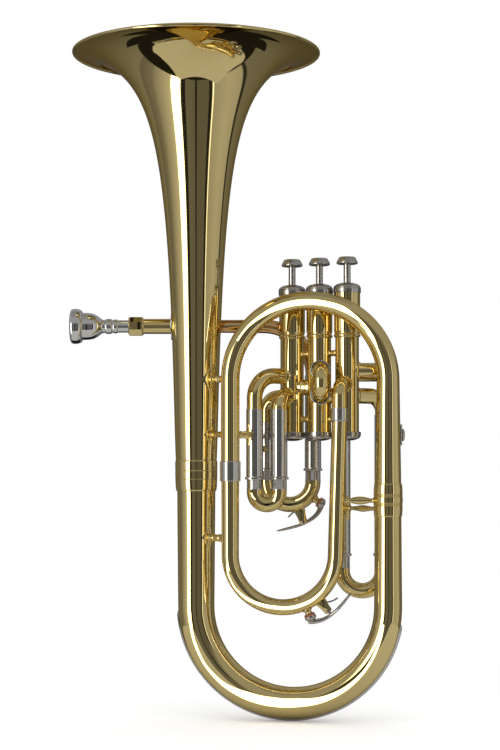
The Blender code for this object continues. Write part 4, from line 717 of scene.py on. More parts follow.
def leverShape(key):
    # An arched lever that starts over the cup and widens to a dished spoon for the thumb
    sizes = keySizes
    narrow, wide = sizes["leverWidth"], sizes["thumbWidth"]
    heel, (low, high), tip = sizes["heel"], sizes["widens"], sizes["tip"]
    line = smoothLine([keyPoint(key, *place) for place in key["lever"]], 7)
    line = [Vector(point) for point in line]
    rings = []
    for index, point in enumerate(line):
        share = index / (len(line) - 1)
        spoon = min(1, max(0, (share - low) / (high - low)))
        spoon = spoon * spoon * (3 - 2 * spoon)
        end = math.sqrt(max(0.03, 1 - max(0, (share - tip) / (1 - tip)) ** 2))
        end *= math.sqrt(max(0.15, 1 - max(0, (heel - share) / heel) ** 2))
        width = (narrow + (wide - narrow) * spoon) * end
        depth = stagedValue(sizes["leverDepth"], share) * end ** 0.5
        along = (line[min(len(line) - 1, index + 1)] - line[max(0, index - 1)]).normalized()
        out = Vector((0, 1, 0)).cross(along)
        rings.append([])
        for step in range(16):
            angle = step * math.pi / 8
            across = math.copysign(abs(math.cos(angle)) ** 0.7, math.cos(angle)) * width / 2
            lift = math.copysign(abs(math.sin(angle)) ** 0.7, math.sin(angle)) * depth / 2
            lift += spoon * (across * 2 / wide) ** 2 * sizes["dish"]
            rings[-1].append(point + Vector((0, across, 0)) + out * lift)
    return skinned(rings)


def makeKey(key):
    # Lever, cup with its cork, pivot barrel and pin, and the wire spring under them
    sizes, name = keySizes, key["name"]
    foot, out = keyPoint(key, key["cup"], 0), spoke(key["cup"])
    pivot, high = keyPoint(key, key["pivot"], key["pivotHeight"]), key["pivotHeight"]
    neck = sizes["cup"][-1][0]
    cup = [*sizes["cup"], (neck, key["cupTop"]), (0, key["cupTop"])]
    leverHeight = sum(height for _, height in key["lever"][2:4]) / 2
    rise = max(sizes["leastWeb"], leverHeight - high + sizes["webLap"])
    web = block((sizes["web"][0], sizes["web"][1], rise), 0.3, 2)
    lift = Matrix.Translation((0, 0, rise / 2))
    bmesh.ops.transform(
        web, matrix=Matrix.Translation(pivot) @ keyTurn(key) @ lift, verts=web.verts,
    )
    length = sizes["pinLength"]
    pin = softened(mirrored(sizes["halfPin"], length), 0.12)
    barrelFoot = pivot - Vector((0, sizes["lugInner"] - 0.05, 0))
    shapes = [
        leverShape(key), turned(softened(cup, 0.25), foot, out, 48),
        turned(softened(sizes["barrel"], 0.2), barrelFoot, (0, 1, 0), 32), web,
        turned(pin, pivot - Vector((0, length / 2, 0)), (0, 1, 0), 24),
    ]
    nickelPiece(f"{name}_key_lever", shapes, [f"{name}_water_key"], key["body"], handledNickel)
    pad = turned(softened(sizes["pad"], 0.2), foot, out, 40)
    addPiece(f"{name}_key_cork", [pad], cork, key["body"])
    wires = []
    for sense in (-1, 1):
        offset = Vector((0, sense * sizes["wireApart"], 0))
        line = smoothLine([keyPoint(key, *place) + offset for place in key["spring"]], 6)
        wires.append(tubeShape(line, sizes["wire"], 12))
    addPiece(
        f"{name}_key_wire", wires, steel, key["tubeBody"], [f"{name}_key_spring"],
    )


makeArch(archTable)
makeInnerLoop(loopTable)
for key in (tuningKey, loopKey):
    makeKey(key)
print("arch, loop and keys made")


# Valve block

valveTable = {
    "casing": (
        (8.9, 231.6), (9.7, 231.6), (9.7, 312.6), (10.9, 313.2), (10.9, 314.6),
        (10.1, 315.3), (10.2, 316.2), (10.7, 317.6), (10.7, 349.2), (9.9, 349.2),
    ),
    "topCap": (
        (3.3, 354.6), (3.3, 357.0), (4.9, 357.0), (5.4, 356.75), (7.4, 356.35), (9.0, 355.7),
        (10.2, 354.8), (10.9, 353.9), (11.05, 353.3), (11.05, 352.9), (10.6, 352.8), (10.4, 352.7),
    ),
    # Knurled bands: from and to what height, outer and inner radius
    "topKnurl": (348.6, 352.9, 11.25, 10.2), "bottomKnurl": (231.9, 235.4, 11.3, 9.9),
    "teeth": 96, "toothDepth": 0.13,
    "bottomCap": (
        (10.4, 232.3), (10.7, 231.9), (11.0, 231.4), (10.5, 230.6), (9.2, 229.7), (7.0, 228.9),
        (4.6, 228.4), (2.2, 228.15), (0, 228.1),
    ),
    "button": (
        (2.95, 371.7), (3.4, 372.1), (7.2, 372.2), (8.3, 372.6), (8.75, 373.2), (8.5, 374.4),
        (7.75, 375.9), (7.15, 377.0), (6.75, 377.7), (6.2, 378.15), (5.7, 378.0), (5.0, 377.5),
        (3.0, 377.3), (0, 377.2),
    ),
    "stem": ((0, 350.4), (2.9, 350.4), (2.9, 360.0), (2.9, 371.5)),
    "posts": (300.0, 246.0), "knuckles": {1: 272.5, 2: 265.0},
    "halfPost": (
        (0, 9.2), (2.9, 9.2), (2.9, 10.2), (2.0, 10.5), (2.0, 10.8), (2.6, 11.1), (2.6, 11.6),
    ),
    "postWaist": 1.9,
    "halfKnuckle": ((0, 7.2), (6.9, 7.2), (6.9, 10.1), (6.35, 10.5)),
}


def knurledBand(low, high, radius, inner, table):
    # A band with rounded edges whose outside is cut into fine upright teeth
    shape = bmesh.new()
    teeth = table["teeth"]
    ring = bmesh.ops.create_circle(shape, radius=1, segments=teeth * 2)["verts"]
    edges = list(shape.edges)
    levels = (
        (low, radius - 0.5, 0.0), (low + 0.15, radius - 0.12, 0.3), (low + 0.45, radius, 1.0),
        (high - 0.45, radius, 1.0), (high - 0.15, radius - 0.12, 0.3), (high, radius - 0.5, 0.0),
        (high, inner, 0.0), (low, inner, 0.0), (low, radius - 0.5, 0.0),
    )
    for step, (height, reach, cut) in enumerate(levels):
        if step:
            ring, edges = grownRing(shape, edges)
        for vert in ring:
            angle = math.atan2(vert.co.y, vert.co.x)
            size = reach - table["toothDepth"] * cut * (round(angle / (math.pi / teeth)) % 2)
            vert.co = (size * math.cos(angle), size * math.sin(angle), height)
    return shape


def makeValve(number, table):
    axis = valveAxes[number]
    casing = turned(softened(table["casing"], 0.35), axis, steps=72, closed=True)
    brassPiece(
        f"valve_{number}_casing", [casing, *valveFittings(number, table)],
        [f"valve_casing_{number}"],
    )
    for end, softness in (("top", 0.3), ("bottom", 0.5)):
        band = placeShape(knurledBand(*table[f"{end}Knurl"], table), axis)
        profile = softened(table[f"{end}Cap"], softness)
        cap = turned(profile, axis, steps=72, closed=end == "top")
        nickelPiece(
            f"valve_{number}_{end}_cap", [cap, band], [f"{end}_cap_{number}"], look=handledNickel,
        )
    profile = [*table["stem"], *smoothLine(table["button"], 4)]
    body = {1: "first_valve", 2: "second_valve", 3: "third_valve"}[number]
    nickelPiece(
        f"valve_{number}_button", [turned(profile, axis)], [f"finger_button_{number}"], body,
        handledNickel,
    )


def valveFittings(number, table):
    # Posts and knuckles between this casing and the next, made with the first of the two
    if number == 3:
        return []
    start, end = valveAxes[number], valveAxes[number + 1]
    along, length = (end - start).normalized(), (end - start).length
    post = mirrored([*table["halfPost"], (table["postWaist"], length / 2 - 0.2)], length)
    shapes = [
        turned(softened(post, 0.3), raised(start, height), along, 32) for height in table["posts"]
    ]
    knuckle = softened(mirrored(table["halfKnuckle"], length), 0.3)
    shapes.append(turned(knuckle, raised(start, table["knuckles"][number]), along, 48))
    return shapes


def seat(ring, axis, direction, reach):
    # Moves a ring of vertices along the direction until they lie on the casing's side
    across = Vector((-direction.y, direction.x, 0))
    for vert in ring:
        offset = (vert.co - axis).dot(across)
        along = (vert.co - axis).dot(direction)
        vert.co += direction * (math.sqrt(max(0.0, reach ** 2 - offset ** 2)) - along)


for number in (1, 2, 3):
    makeValve(number, valveTable)
print("valves made")


# Slides

slideTable = {
    "outer": 6.9, "ring": 7.95, "ringHeight": 2.0, "bore": 6.42, "leg": 6.36, "bow": 6.4,
    "legBand": 0.12, "legEnd": 8.0,
}
# The second slide's sockets: radius, and distance before or past the casing's axis
secondSlideTable = {
    "upper": 285.6, "lower": 265.5, "socketEnd": 2.0, "bowY": -5.6, "legY": 6.0, "bow": 6.35,
    "inside": ((0, 7.0), (6.9, 7.0)),
    "rim": ((6.9, -2.3), (7.55, -2.0), (8.1, -1.6), (8.1, -0.4), (7.65, 0), (6.45, 0)),
    "bore": ((6.45, 9.9), (0, 9.9)),
}
hangingSlides = {
    "slide_1": {
        "left": (-29.8, 5.5), "right": (-9.9, 5.5), "ringZ": 196.4, "tops": (253.9, 253.9),
        "bowZ": 186.0, "ferruleZ": 188.1, "body": "first_valve_slide",
        "outers": ("slide_1_outer_left", "slide_1_outer_right"),
    },
    "tuning_slide": {
        "left": (-19.4, 40.0), "right": (19.0, 40.0), "ringZ": 203.5, "tops": (243.9, 283.3),
        "bowZ": 194.6, "ferruleZ": 195.4, "body": "main_tuning_slide",
        "outers": ("tuning_outer_left", "tuning_outer_right"),
    },
    "slide_3": {
        "left": (42.7, 26.0), "right": (76.3, 26.0), "ringZ": 133.2, "tops": (250.0, 250.0),
        "bowZ": 121.1, "ferruleZ": 123.0, "body": "third_valve_slide",
        "outers": ("slide_3_outer_left", "slide_3_outer_right"),
    },
}


def outerProfile(table, foot, top):
    # Ring at the foot, plain tube, and a small lip at the top
    return (
        (table["bore"], foot), (table["ring"] - 0.3, foot), (table["ring"], foot + 0.35),
        (table["ring"], foot + table["ringHeight"] - 0.4),
        (table["ring"] - 0.5, foot + table["ringHeight"]), (table["outer"], foot + 2.3),
        (table["outer"], top - 0.3), (table["outer"] - 0.2, top), (table["bore"], top),
    )


def makeHangingSlide(name, values, table):
    left, right = Vector((*values["left"], 0)), Vector((*values["right"], 0))
    legs = []
    leg, foot = table["leg"], values["ferruleZ"] - 0.2
    band = leg + table["legBand"]
    for place, top, node in zip((left, right), values["tops"], values["outers"]):
        shape = turned(softened(outerProfile(table, values["ringZ"], top), 0.2), place, closed=True)
        nickelPiece(f"{node}_tube", [shape], [node])
        end = top - table["legEnd"]
        profile = (
            (0, foot), (band, foot), (band, foot + 1.2), (leg, foot + 1.4), (leg, end), (0, end),
        )
        legs.append(turned(profile, place, steps=48))
    centre = raised((left + right) / 2, values["bowZ"])
    bend = bowPoints(centre, (right - left).length / 2, 180, 360, 4)
    points = [raised(left, values["ferruleZ"]), *bend, raised(right, values["ferruleZ"])]
    mounts = keyMounts(tuningKey) if name == "tuning_slide" else []
    bow = tubeShape(points, table["bow"])
    brassPiece(f"{name}_bow", [bow, *mounts], [name], values["body"])
    nickelPiece(f"{name}_legs", legs, (), values["body"])


def makeSecondSlide(table):
    axis = valveAxes[2]
    reach = axis.y + table["socketEnd"]
    rim = [(radius, reach + past) for radius, past in table["rim"]]
    profile = softened([*table["inside"], *rim, *table["bore"]], 0.2)
    upper, lower = table["upper"], table["lower"]
    sockets = [turned(profile, raised(axis, height), (0, -1, 0), 56) for height in (upper, lower)]
    nickelPiece("second_slide_sockets", sockets)
    points = [Vector((axis.x, table["legY"], upper))]
    bend = (upper - lower) / 2
    for degrees in range(90, -91, -5):
        angle = math.radians(degrees)
        points.append(Vector((
            axis.x, table["bowY"] - bend * math.cos(angle),
            (upper + lower) / 2 + bend * math.sin(angle),
        )))
    points.append(Vector((axis.x, table["legY"], lower)))
    tube = tubeShape(points, table["bow"])
    brassPiece("slide_2_bow", [tube], ["slide_2"], "second_valve_slide")


for name, values in hangingSlides.items():
    makeHangingSlide(name, values, slideTable)
makeSecondSlide(secondSlideTable)
print("slides made")


# Elbows from the valves, and the leadpipe

elbowTable = {
    "slide_1_elbow_left": {
        "valve": 1, "port": 281.5, "bends": (18.5,), "radius": 6.4,
        "corners": ((-29.8, 5.5, 281.5), (-29.8, 5.5, 250.0)),
    },
    "slide_1_elbow_right": {
        "valve": 1, "port": 265.0, "bends": (11.0,), "radius": 6.4,
        "corners": ((-9.9, 5.5, 265.0), (-9.9, 5.5, 250.0)),
    },
    "tuning_elbow": {
        "valve": 1, "port": 264.2, "bends": (11.0,), "radius": 6.4,
        "corners": ((-19.4, 40.0, 264.2), (-19.4, 40.0, 240.0)),
    },
    "slide_3_elbow_left": {
        "valve": 3, "port": 285.5, "bends": (9.4475, 9.4475, 13.3), "radius": 6.2,
        "corners": (
            (75.75, 6.505, 285.5), (75.75, 26.0, 283.5), (42.7, 26.0, 283.5), (42.7, 26.0, 246.0),
        ),
    },
    "slide_3_elbow_right": {
        "valve": 3, "port": 265.1, "bends": (13.5,), "radius": 6.4,
        "corners": ((76.3, 26.0, 265.1), (76.3, 26.0, 246.0)),
    },
    "outlet_elbow": {
        "valve": 3, "port": 273.9, "bends": (11.0,), "radius": 6.1,
        "corners": ((38.4, -13.98, 273.9), (38.4, -13.98, 248.8)),
    },
}


# How far from the valve's axis each ring of an elbow's collar lies, and its extra radius
collarLevels = ((9.4, 0.1), (9.4, 0.9), (10.2, 0.9), (10.9, 0.35), (11.1, -0.05))


def seatedRing(shape, radius, axis, direction, reach):
    # A ring round the direction, laid on a cylinder round the valve's axis
    turn = Vector((0, 0, 1)).rotation_difference(direction).to_matrix().to_4x4()
    ring = bmesh.ops.create_circle(shape, radius=radius, segments=40)["verts"]
    bmesh.ops.transform(shape, matrix=Matrix.Translation(axis) @ turn, verts=ring)
    seat(ring, axis, direction, reach)
    return list({edge for vert in ring for edge in vert.link_edges})


def makeElbow(name, values):
    axis = raised(valveAxes[values["valve"]], values["port"])
    path = bentPath([axis, *values["corners"]], values["bends"])
    radius, inside = values["radius"], collarLevels[0][0]
    direction = (path[1] - path[0]).normalized()
    shape, start = swept(path, radius)
    seat(start, axis, direction, inside)
    # The end is closed by rings that follow the casing, so it stays clear of the piston
    ends = set(start)
    edges = {edge for vert in start for edge in vert.link_edges}
    previous = [edge for edge in edges if ends.issuperset(edge.verts)]
    for share in (0.66, 0.33):
        edges = seatedRing(shape, radius * share, axis, direction, inside)
        bmesh.ops.bridge_loops(shape, edges=previous + edges)
        previous = edges
    bmesh.ops.holes_fill(shape, edges=shape.edges, sides=0)
    collar = bmesh.new()
    previous = []
    for reach, extra in collarLevels:
        edges = seatedRing(collar, radius + extra, axis, direction, reach)
        if previous:
            bmesh.ops.bridge_loops(collar, edges=previous + edges)
        previous = edges
    brassPiece(f"{name}_tube", [shape, collar], [name])


leadpipeTable = {
    "y": 44.5, "z": 324.5, "startX": -108.0, "bend": 41.2, "endX": 19.0, "endY": 40.0,
    "endZ": 278.0, "radii": ((0, 5.25), (30, 5.25), (86, 5.7), (150, 6.3), (10000, 6.3)),
}
receiverTable = {
    "foot": -135.2, "end": -92.0, "sharp": 20,
    "nut": (
        (6.0, 0), (7.5, 0), (8.2, 0.8), (8.25, 1.1), (8.25, 11.1), (8.2, 11.4), (7.5, 12.2),
        (6.0, 12.2),
    ),
    "sleeveFoot": ((5.5, 0.2), (6.7, 0.2), (6.7, 12.0), (6.3, 12.5)),
    "sleeveEnd": ((6.3, -1.2), (6.1, -0.4), (5.8, 0), (5.5, 0)),
}
# The scalloped flange, as (Y, height above the leadpipe), and the post behind it
flangeTable = {
    "x": -97.5, "thickness": 3.2,
    "outline": (
        (14.5, -3.5), (22.0, -6.5), (30.0, -12.5), (37.0, -9.0), (44.5, -8.2), (46.4, 0.0),
        (44.5, 8.2), (37.0, 9.0), (30.0, 12.5), (22.0, 6.5), (14.5, 3.5),
    ),
    "postX": -62.0, "postStart": 0.55, "leadpipeRadius": 5.4,
    "postFoot": ((0, 0), (4.6, 0), (4.4, 5.0), (2.6, 6.4)),
    "postEnd": ((2.2, -2.4), (3.4, -1.2), (3.4, 0), (0, 0)),
}


def makeLeadpipe(table):
    y, z, bend = table["y"], table["z"], table["bend"]
    bendStart = table["endX"] - bend
    points = [Vector((x, y, z)) for x in (table["startX"], bellAxis.x)]
    for step in range(25):
        share = step / 24
        angle = share * math.pi / 2
        points.append(Vector((
            bendStart + bend * math.sin(angle), y + (table["endY"] - y) * share,
            z - bend * (1 - math.cos(angle)),
        )))
    points.append(Vector((table["endX"], table["endY"], table["endZ"])))
    tube = tubeShape(points, gradedRadii(points, table["radii"]))
    addPiece("leadpipe_tube", [tube], roseBrass, "horn_body", ["leadpipe"])


def endedProfile(foot, end, length):
    # A profile whose second part is measured back from the piece's far end
    return [*foot, *((radius, length + place) for radius, place in end)]


def makeReceiver(table, pipe):
    # An octagonal nut with chamfered ends on a round sleeve
    base = Vector((table["foot"], pipe["y"], pipe["z"]))
    profile = endedProfile(table["sleeveFoot"], table["sleeveEnd"], table["end"] - table["foot"])
    sleeve = turned(softened(profile, 0.2), base, (1, 0, 0), 56, closed=True)
    nut = turned(table["nut"], steps=8, closed=True)
    bmesh.ops.rotate(nut, matrix=Matrix.Rotation(math.pi / 8, 3, "Z"), verts=nut.verts)
    shapes = [placeShape(nut, base, (1, 0, 0)), sleeve]
    addPiece(
        "mouthpipe_collar", shapes, brass, "horn_body", ["mouthpipe_receiver"],
        table["sharp"],
    )


def makeLeadpipeFittings(table, pipe):
    thick = table["thickness"]
    outline = [
        (table["x"] - thick / 2, across, pipe["z"] + rise)
        for across, rise in smoothLine(table["outline"], 5)
    ]
    plate = slab(outline, (thick, 0, 0), 0.7, 3)
    nickelPiece("leadpipe_flange_plate", [plate], ["leadpipe_flange"])
    startY = bellAxis.y + bellRadius(pipe["z"]) * table["postStart"]
    length = pipe["y"] - table["leadpipeRadius"] - startY
    profile = softened(endedProfile(table["postFoot"], table["postEnd"], length), 0.4)
    post = turned(profile, (table["postX"], startY, pipe["z"]), (0, 1, 0), 40)
    brassPiece("leadpipe_post_turned", [post], ["leadpipe_post"])


for name, values in elbowTable.items():
    makeElbow(name, values)
makeLeadpipe(leadpipeTable)
makeReceiver(receiverTable, leadpipeTable)
makeLeadpipeFittings(flangeTable, leadpipeTable)
print("elbows and leadpipe made")


# Mouthpiece: outline from the rim along its axis, then back through the bore

mouthpieceTable = {
    "rimX": -184.1,
    "outside": (
        (12.6, 0.35), (13.8, 0.9), (14.5, 2.2), (14.65, 4.4), (14.4, 6.8), (13.6, 8.9),
        (12.4, 9.9), (11.5, 10.4), (11.35, 11.6), (11.3, 14.0), (11.0, 17.0), (10.2, 20.0),
        (8.9, 22.6), (7.2, 24.9), (6.0, 26.4), (5.5, 27.6), (5.45, 29.2),
    ),
    "beads": (
        (5.45, 29.4), (6.05, 29.7), (6.3, 30.4), (6.3, 34.0), (6.05, 34.7), (5.3, 35.0),
        (5.3, 35.9), (5.65, 36.2), (5.85, 36.8), (5.85, 38.9), (5.6, 39.5), (5.2, 39.8),
        (5.2, 60.0), (5.1, 66.7), (3.9, 66.9),
    ),
    "inside": (
        (2.2, 28.0), (2.2, 22.0), (3.4, 18.0), (6.0, 12.0), (8.0, 6.0), (8.9, 2.4), (9.6, 0.9),
        (10.6, 0.15), (11.6, 0.05), (12.6, 0.35),
    ),
}


def makeMouthpiece(table):
    profile = [*smoothLine(table["outside"], 5), *softened(table["beads"], 0.3)]
    profile += smoothLine(table["inside"], 5)[:-1]
    place = (table["rimX"], leadpipeTable["y"], leadpipeTable["z"])
    shape = turned(profile, place, (1, 0, 0), 96, closed=True)
    addPiece("mouthpiece_turned", [shape], silver, "mouthpiece", ["mouthpiece"])


makeMouthpiece(mouthpieceTable)
print("mouthpiece made")


# Braces, each from one tube's side to another's

def brace(name, node, ends, profile, flanges):
    # A turned post between two tubes; a flange is (end, half length, half angle, tube's radii)
    (first, firstRadius), (second, secondRadius) = ends
    along = (second - first).normalized()
    length = (second - first).length - firstRadius - secondRadius
    start, end = firstRadius - 1.2, firstRadius + length + 1.2
    line = [(0, start), (profile[0][1], start)]
    line += [(radius, firstRadius + share * length) for share, radius in profile]
    line += [(profile[-1][1], end), (0, end)]
    shapes = [turned(softened(line, 0.3), first, along, 48)]
    for side, halfLength, halfDegrees, radii in flanges:
        foot, way = ((first, along), (second, -along))[side]
        shapes.append(diamondFlange(foot, way, radii, halfLength, halfDegrees))
    brassPiece(name, shapes, [node] if node else ())


braceProfiles = {
    "balusterFront": smoothLine((
        (0, 2.6), (0.05, 2.7), (0.1, 2.2), (0.15, 1.8), (0.22, 2.0), (0.35, 2.8), (0.5, 3.25),
        (0.65, 3.0), (0.8, 2.3), (0.92, 1.7), (0.97, 1.9), (1, 2.4),
    ), 3),
    "balusterBack": smoothLine((
        (0, 2.3), (0.05, 2.4), (0.1, 1.9), (0.15, 1.6), (0.3, 2.0), (0.45, 2.7), (0.55, 2.7),
        (0.7, 2.1), (0.88, 1.6), (0.95, 1.9), (1, 2.3),
    ), 3),
    "ballPost": (
        (0, 3.4), (0.1, 3.2), (0.16, 2.1), (0.3, 2.0), (0.36, 2.7), (0.44, 3.3), (0.52, 3.4),
        (0.6, 3.1), (0.68, 2.1), (0.8, 2.0), (0.88, 3.0), (1, 3.2),
    ),
    "spool": (
        (0, 3.5), (0.13, 3.4), (0.17, 2.7), (0.23, 2.7), (0.27, 3.1), (0.35, 3.1), (0.39, 2.7),
        (0.61, 2.7), (0.65, 3.1), (0.73, 3.1), (0.77, 2.7), (0.83, 2.7), (0.87, 3.4), (1, 3.5),
    ),
    "beaded": (
        (0, 2.2), (0.06, 2.2), (0.09, 2.7), (0.2, 2.8), (0.25, 2.1), (0.32, 1.8), (0.68, 1.8),
        (0.75, 2.1), (0.8, 2.8), (0.91, 2.7), (0.94, 2.2), (1, 2.2),
    ),
    "stub": ((0, 3.0), (0.08, 2.9), (0.2, 2.4), (0.8, 2.4), (0.92, 2.9), (1, 3.0)),
}


loopRight = Vector((36.5, -13.98, 0))
firstSlide, thirdSlide, tuningSlide = (
    Vector((*hangingSlides[name]["left"], 0)) for name in ("slide_1", "slide_3", "tuning_slide")
)
# Node, height, both tubes' axes and radii, the post's profile and its flanges
braceTable = {
    "front_baluster_turned": (
        "front_baluster", 179.6, (loopRight, 6.3), (branchAxis, 11.9), "balusterFront", (),
    ),
    "back_baluster_turned": (
        "back_baluster", 172.8, (thirdSlide, 6.9), (branchAxis, 11.6), "balusterBack",
        ((0, 10.5, 48, (6.9, 6.9)),),
    ),
    "bell_post_turned": (
        "bell_post", 277.9, (bellAxis, bellRadius(277.9)), (loopLeft, 7.5), "ballPost",
        ((0, 12.0, 30, (bellRadius(265.9), bellRadius(289.9))), (1, 9.0, 38, (7.5, 7.5))),
    ),
    "lower_bell_post_turned": (
        None, 233.0, (bellAxis, bellRadius(233.0)), (loopLeft, 7.5), "stub",
        ((0, 8.0, 22, (bellRadius(225.0), bellRadius(241.0))), (1, 6.5, 34, (7.5, 7.5))),
    ),
    "bow_post_turned": (
        "bow_post", 149.1, (bellAxis, 15.3), (loopLeft, 6.9), "spool",
        ((0, 9.0, 26, (15.35, 15.45)), (1, 7.5, 38, (6.95, 6.9))),
    ),
    "arch_post_turned": (
        "arch_post", 232.8, (loopLeft, 7.5), (firstSlide, 6.9), "spool",
        ((0, 8.5, 40, (7.5, 7.5)), (1, 8.5, 42, (6.9, 6.9))),
    ),
    "slide_post_turned": (
        "slide_post", 221.5, (firstSlide, 6.9), (tuningSlide, 6.9), "beaded",
        ((0, 6.5, 42, (6.9, 6.9)),),
    ),
}
for name, (node, height, *ends, profile, flanges) in braceTable.items():
    ends = [(raised(axis, height), radius) for axis, radius in ends]
    brace(name, node, ends, braceProfiles[profile], flanges)


# Lyre socket with its knurled thumbscrew on the branch

lyreTable = {
    "z": 232.4, "faceX": 88.95, "plate": (3.0, 6.0, 17.3), "plateX": 87.45, "soft": 0.9,
    "screw": (
        (0, -1.2), (1.0, -1.2), (1.0, 0.1), (4.4, 0.1), (4.9, 0.45), (4.9, 1.05), (4.4, 1.6),
        (3.1, 2.0), (0, 2.15),
    ),
}


def makeLyre(table):
    plate = block(table["plate"], table["soft"], 3)
    placeShape(plate, (table["plateX"], branchAxis.y, table["z"]))
    nickelPiece("lyre_plate", [plate], ["lyre_socket"])
    place = (table["faceX"], branchAxis.y, table["z"])
    head = turned(softened(table["screw"], 0.3), place, (1, 0, 0), 56)
    nickelPiece(
        "lyre_screw_turned", [head], ["lyre_screw"], "lyre_thumbscrew", handledNickel,
    )


makeLyre(lyreTable)

# Hidden pieces keep their solids and get the same care in their metal
for name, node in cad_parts.items():
    if name.startswith("piston") or "spring" in name:
        node.data.materials.clear()
        node.data.materials.append(steel if "spring" in name else nickel)
print("braces, lyre and hidden pieces made")


# Studio: pale floor, a ring of panels that only reflections see, glowing ribbons that paint
# highlight bands on the tubes, and plain soft light

def glowMaterial(name, strength, oneSided=False):
    look, nodes, links = newLook(name)
    look.cycles.emission_sampling = "NONE"
    nodes.remove(nodes["Principled BSDF"])
    glow = feed(links, nodes.new("ShaderNodeEmission"), {"Strength": strength})
    surface = glow.outputs[0]
    if oneSided:
        facing = nodes.new("ShaderNodeNewGeometry").outputs["Backfacing"]
        clear = nodes.new("ShaderNodeBsdfTransparent").outputs[0]
        mix = feed(links, nodes.new("ShaderNodeMixShader"), {0: facing, 1: surface, 2: clear})
        surface = mix.outputs[0]
    links.new(surface, nodes["Material Output"].inputs["Surface"])
    return look


def wallMaterial(name, stops, plain):
    # Brightness by the compass angle from the camera's side, looked up in a ramp
    peak = max(value for _, value in stops)
    look = glowMaterial(name, peak)
    nodes, links = look.node_tree.nodes, look.node_tree.links
    place = nodes.new("ShaderNodeTexCoord").outputs["Object"]
    parts = feed(links, nodes.new("ShaderNodeSeparateXYZ"), {0: place}).outputs
    back = mathNode(nodes, links, "MULTIPLY", parts["Y"], -1.0)
    angle = mathNode(nodes, links, "ARCTAN2", parts["X"], back)
    share = mathNode(nodes, links, "DIVIDE", angle, 2 * math.pi)
    share = mathNode(nodes, links, "ADD", share, 0.5)
    ramp = feed(links, nodes.new("ShaderNodeValToRGB"), {"Fac": share})
    elements = ramp.color_ramp.elements
    for index, (degrees, value) in enumerate(stops):
        element = elements[index] if index < 2 else elements.new(1.0)
        element.position = degrees / 360 + 0.5
        element.color = (*[value / peak] * 3, 1)
    # Higher up, the compass pattern gives way to one plain level
    height = mathNode(nodes, links, "SUBTRACT", parts["Z"], plain["from"])
    height = mathNode(nodes, links, "DIVIDE", height, plain["to"] - plain["from"])
    height = mathNode(nodes, links, "MINIMUM", height, 1.0)
    height = mathNode(nodes, links, "MAXIMUM", height, 0.0)
    level = (*[plain["level"] / peak] * 3, 1)
    colour = mixedColour(nodes, links, height, ramp.outputs["Color"], level)
    links.new(colour, nodes["Emission"].inputs["Color"])
    return look


def stageObject(name, shape, look, cameraSees=False):
    mesh = bpy.data.meshes.new(name)
    shape.to_mesh(mesh)
    shape.free()
    mesh.materials.append(look)
    piece = bpy.data.objects.new(name, mesh)
    bpy.context.scene.collection.objects.link(piece)
    piece.visible_camera = piece.visible_diffuse = cameraSees
    piece.visible_shadow = piece.visible_transmission = cameraSees


# The photo's camera: its place, and the lens for a picture of so many pixels
cameraTable = {
    "place": (-33.6, -1486.0, 204.2), "sensor": 36, "focal": 1826.4, "shift": 95, "picture": 750,
}
studioTable = {
    "distance": 6.0,
    "wallStops": (
        (-180, 0.10), (-150, 0.16), (-120, 0.22), (-117, 0.14), (-96, 0.20), (-92, 0.27),
        (-62, 0.52), (-57, 0.60), (-56.5, 3.6), (-36.5, 3.6), (-36, 0.02), (-24.5, 0.02),
        (-24, 0.15), (-2.4, 0.13), (-2, 0.01), (2, 0.01), (2.4, 0.12), (30.5, 0.12), (31, 0.01),
        (38.6, 0.03), (39.3, 1.8), (41, 1.8), (41.8, 0.36), (75, 0.46), (104, 0.40), (105, 0.03),
        (111, 0.03), (113, 0.18), (150, 0.16), (180, 0.10),
    ),
    "plainAbove": {"from": 1.4, "to": 2.6, "level": 0.34},
    "wallBottom": -46, "wallTop": 62, "ceiling": 0.25, "lowFloor": 0.012,
    "darkBacks": ((143, 217, -46, -37), (166, 194, -37, -26)), "darkDistance": 5.5,
    "paintedHighlightGlow": 3.6, "ribbonGap": 1.8, "ribbonSteps": 60,
}
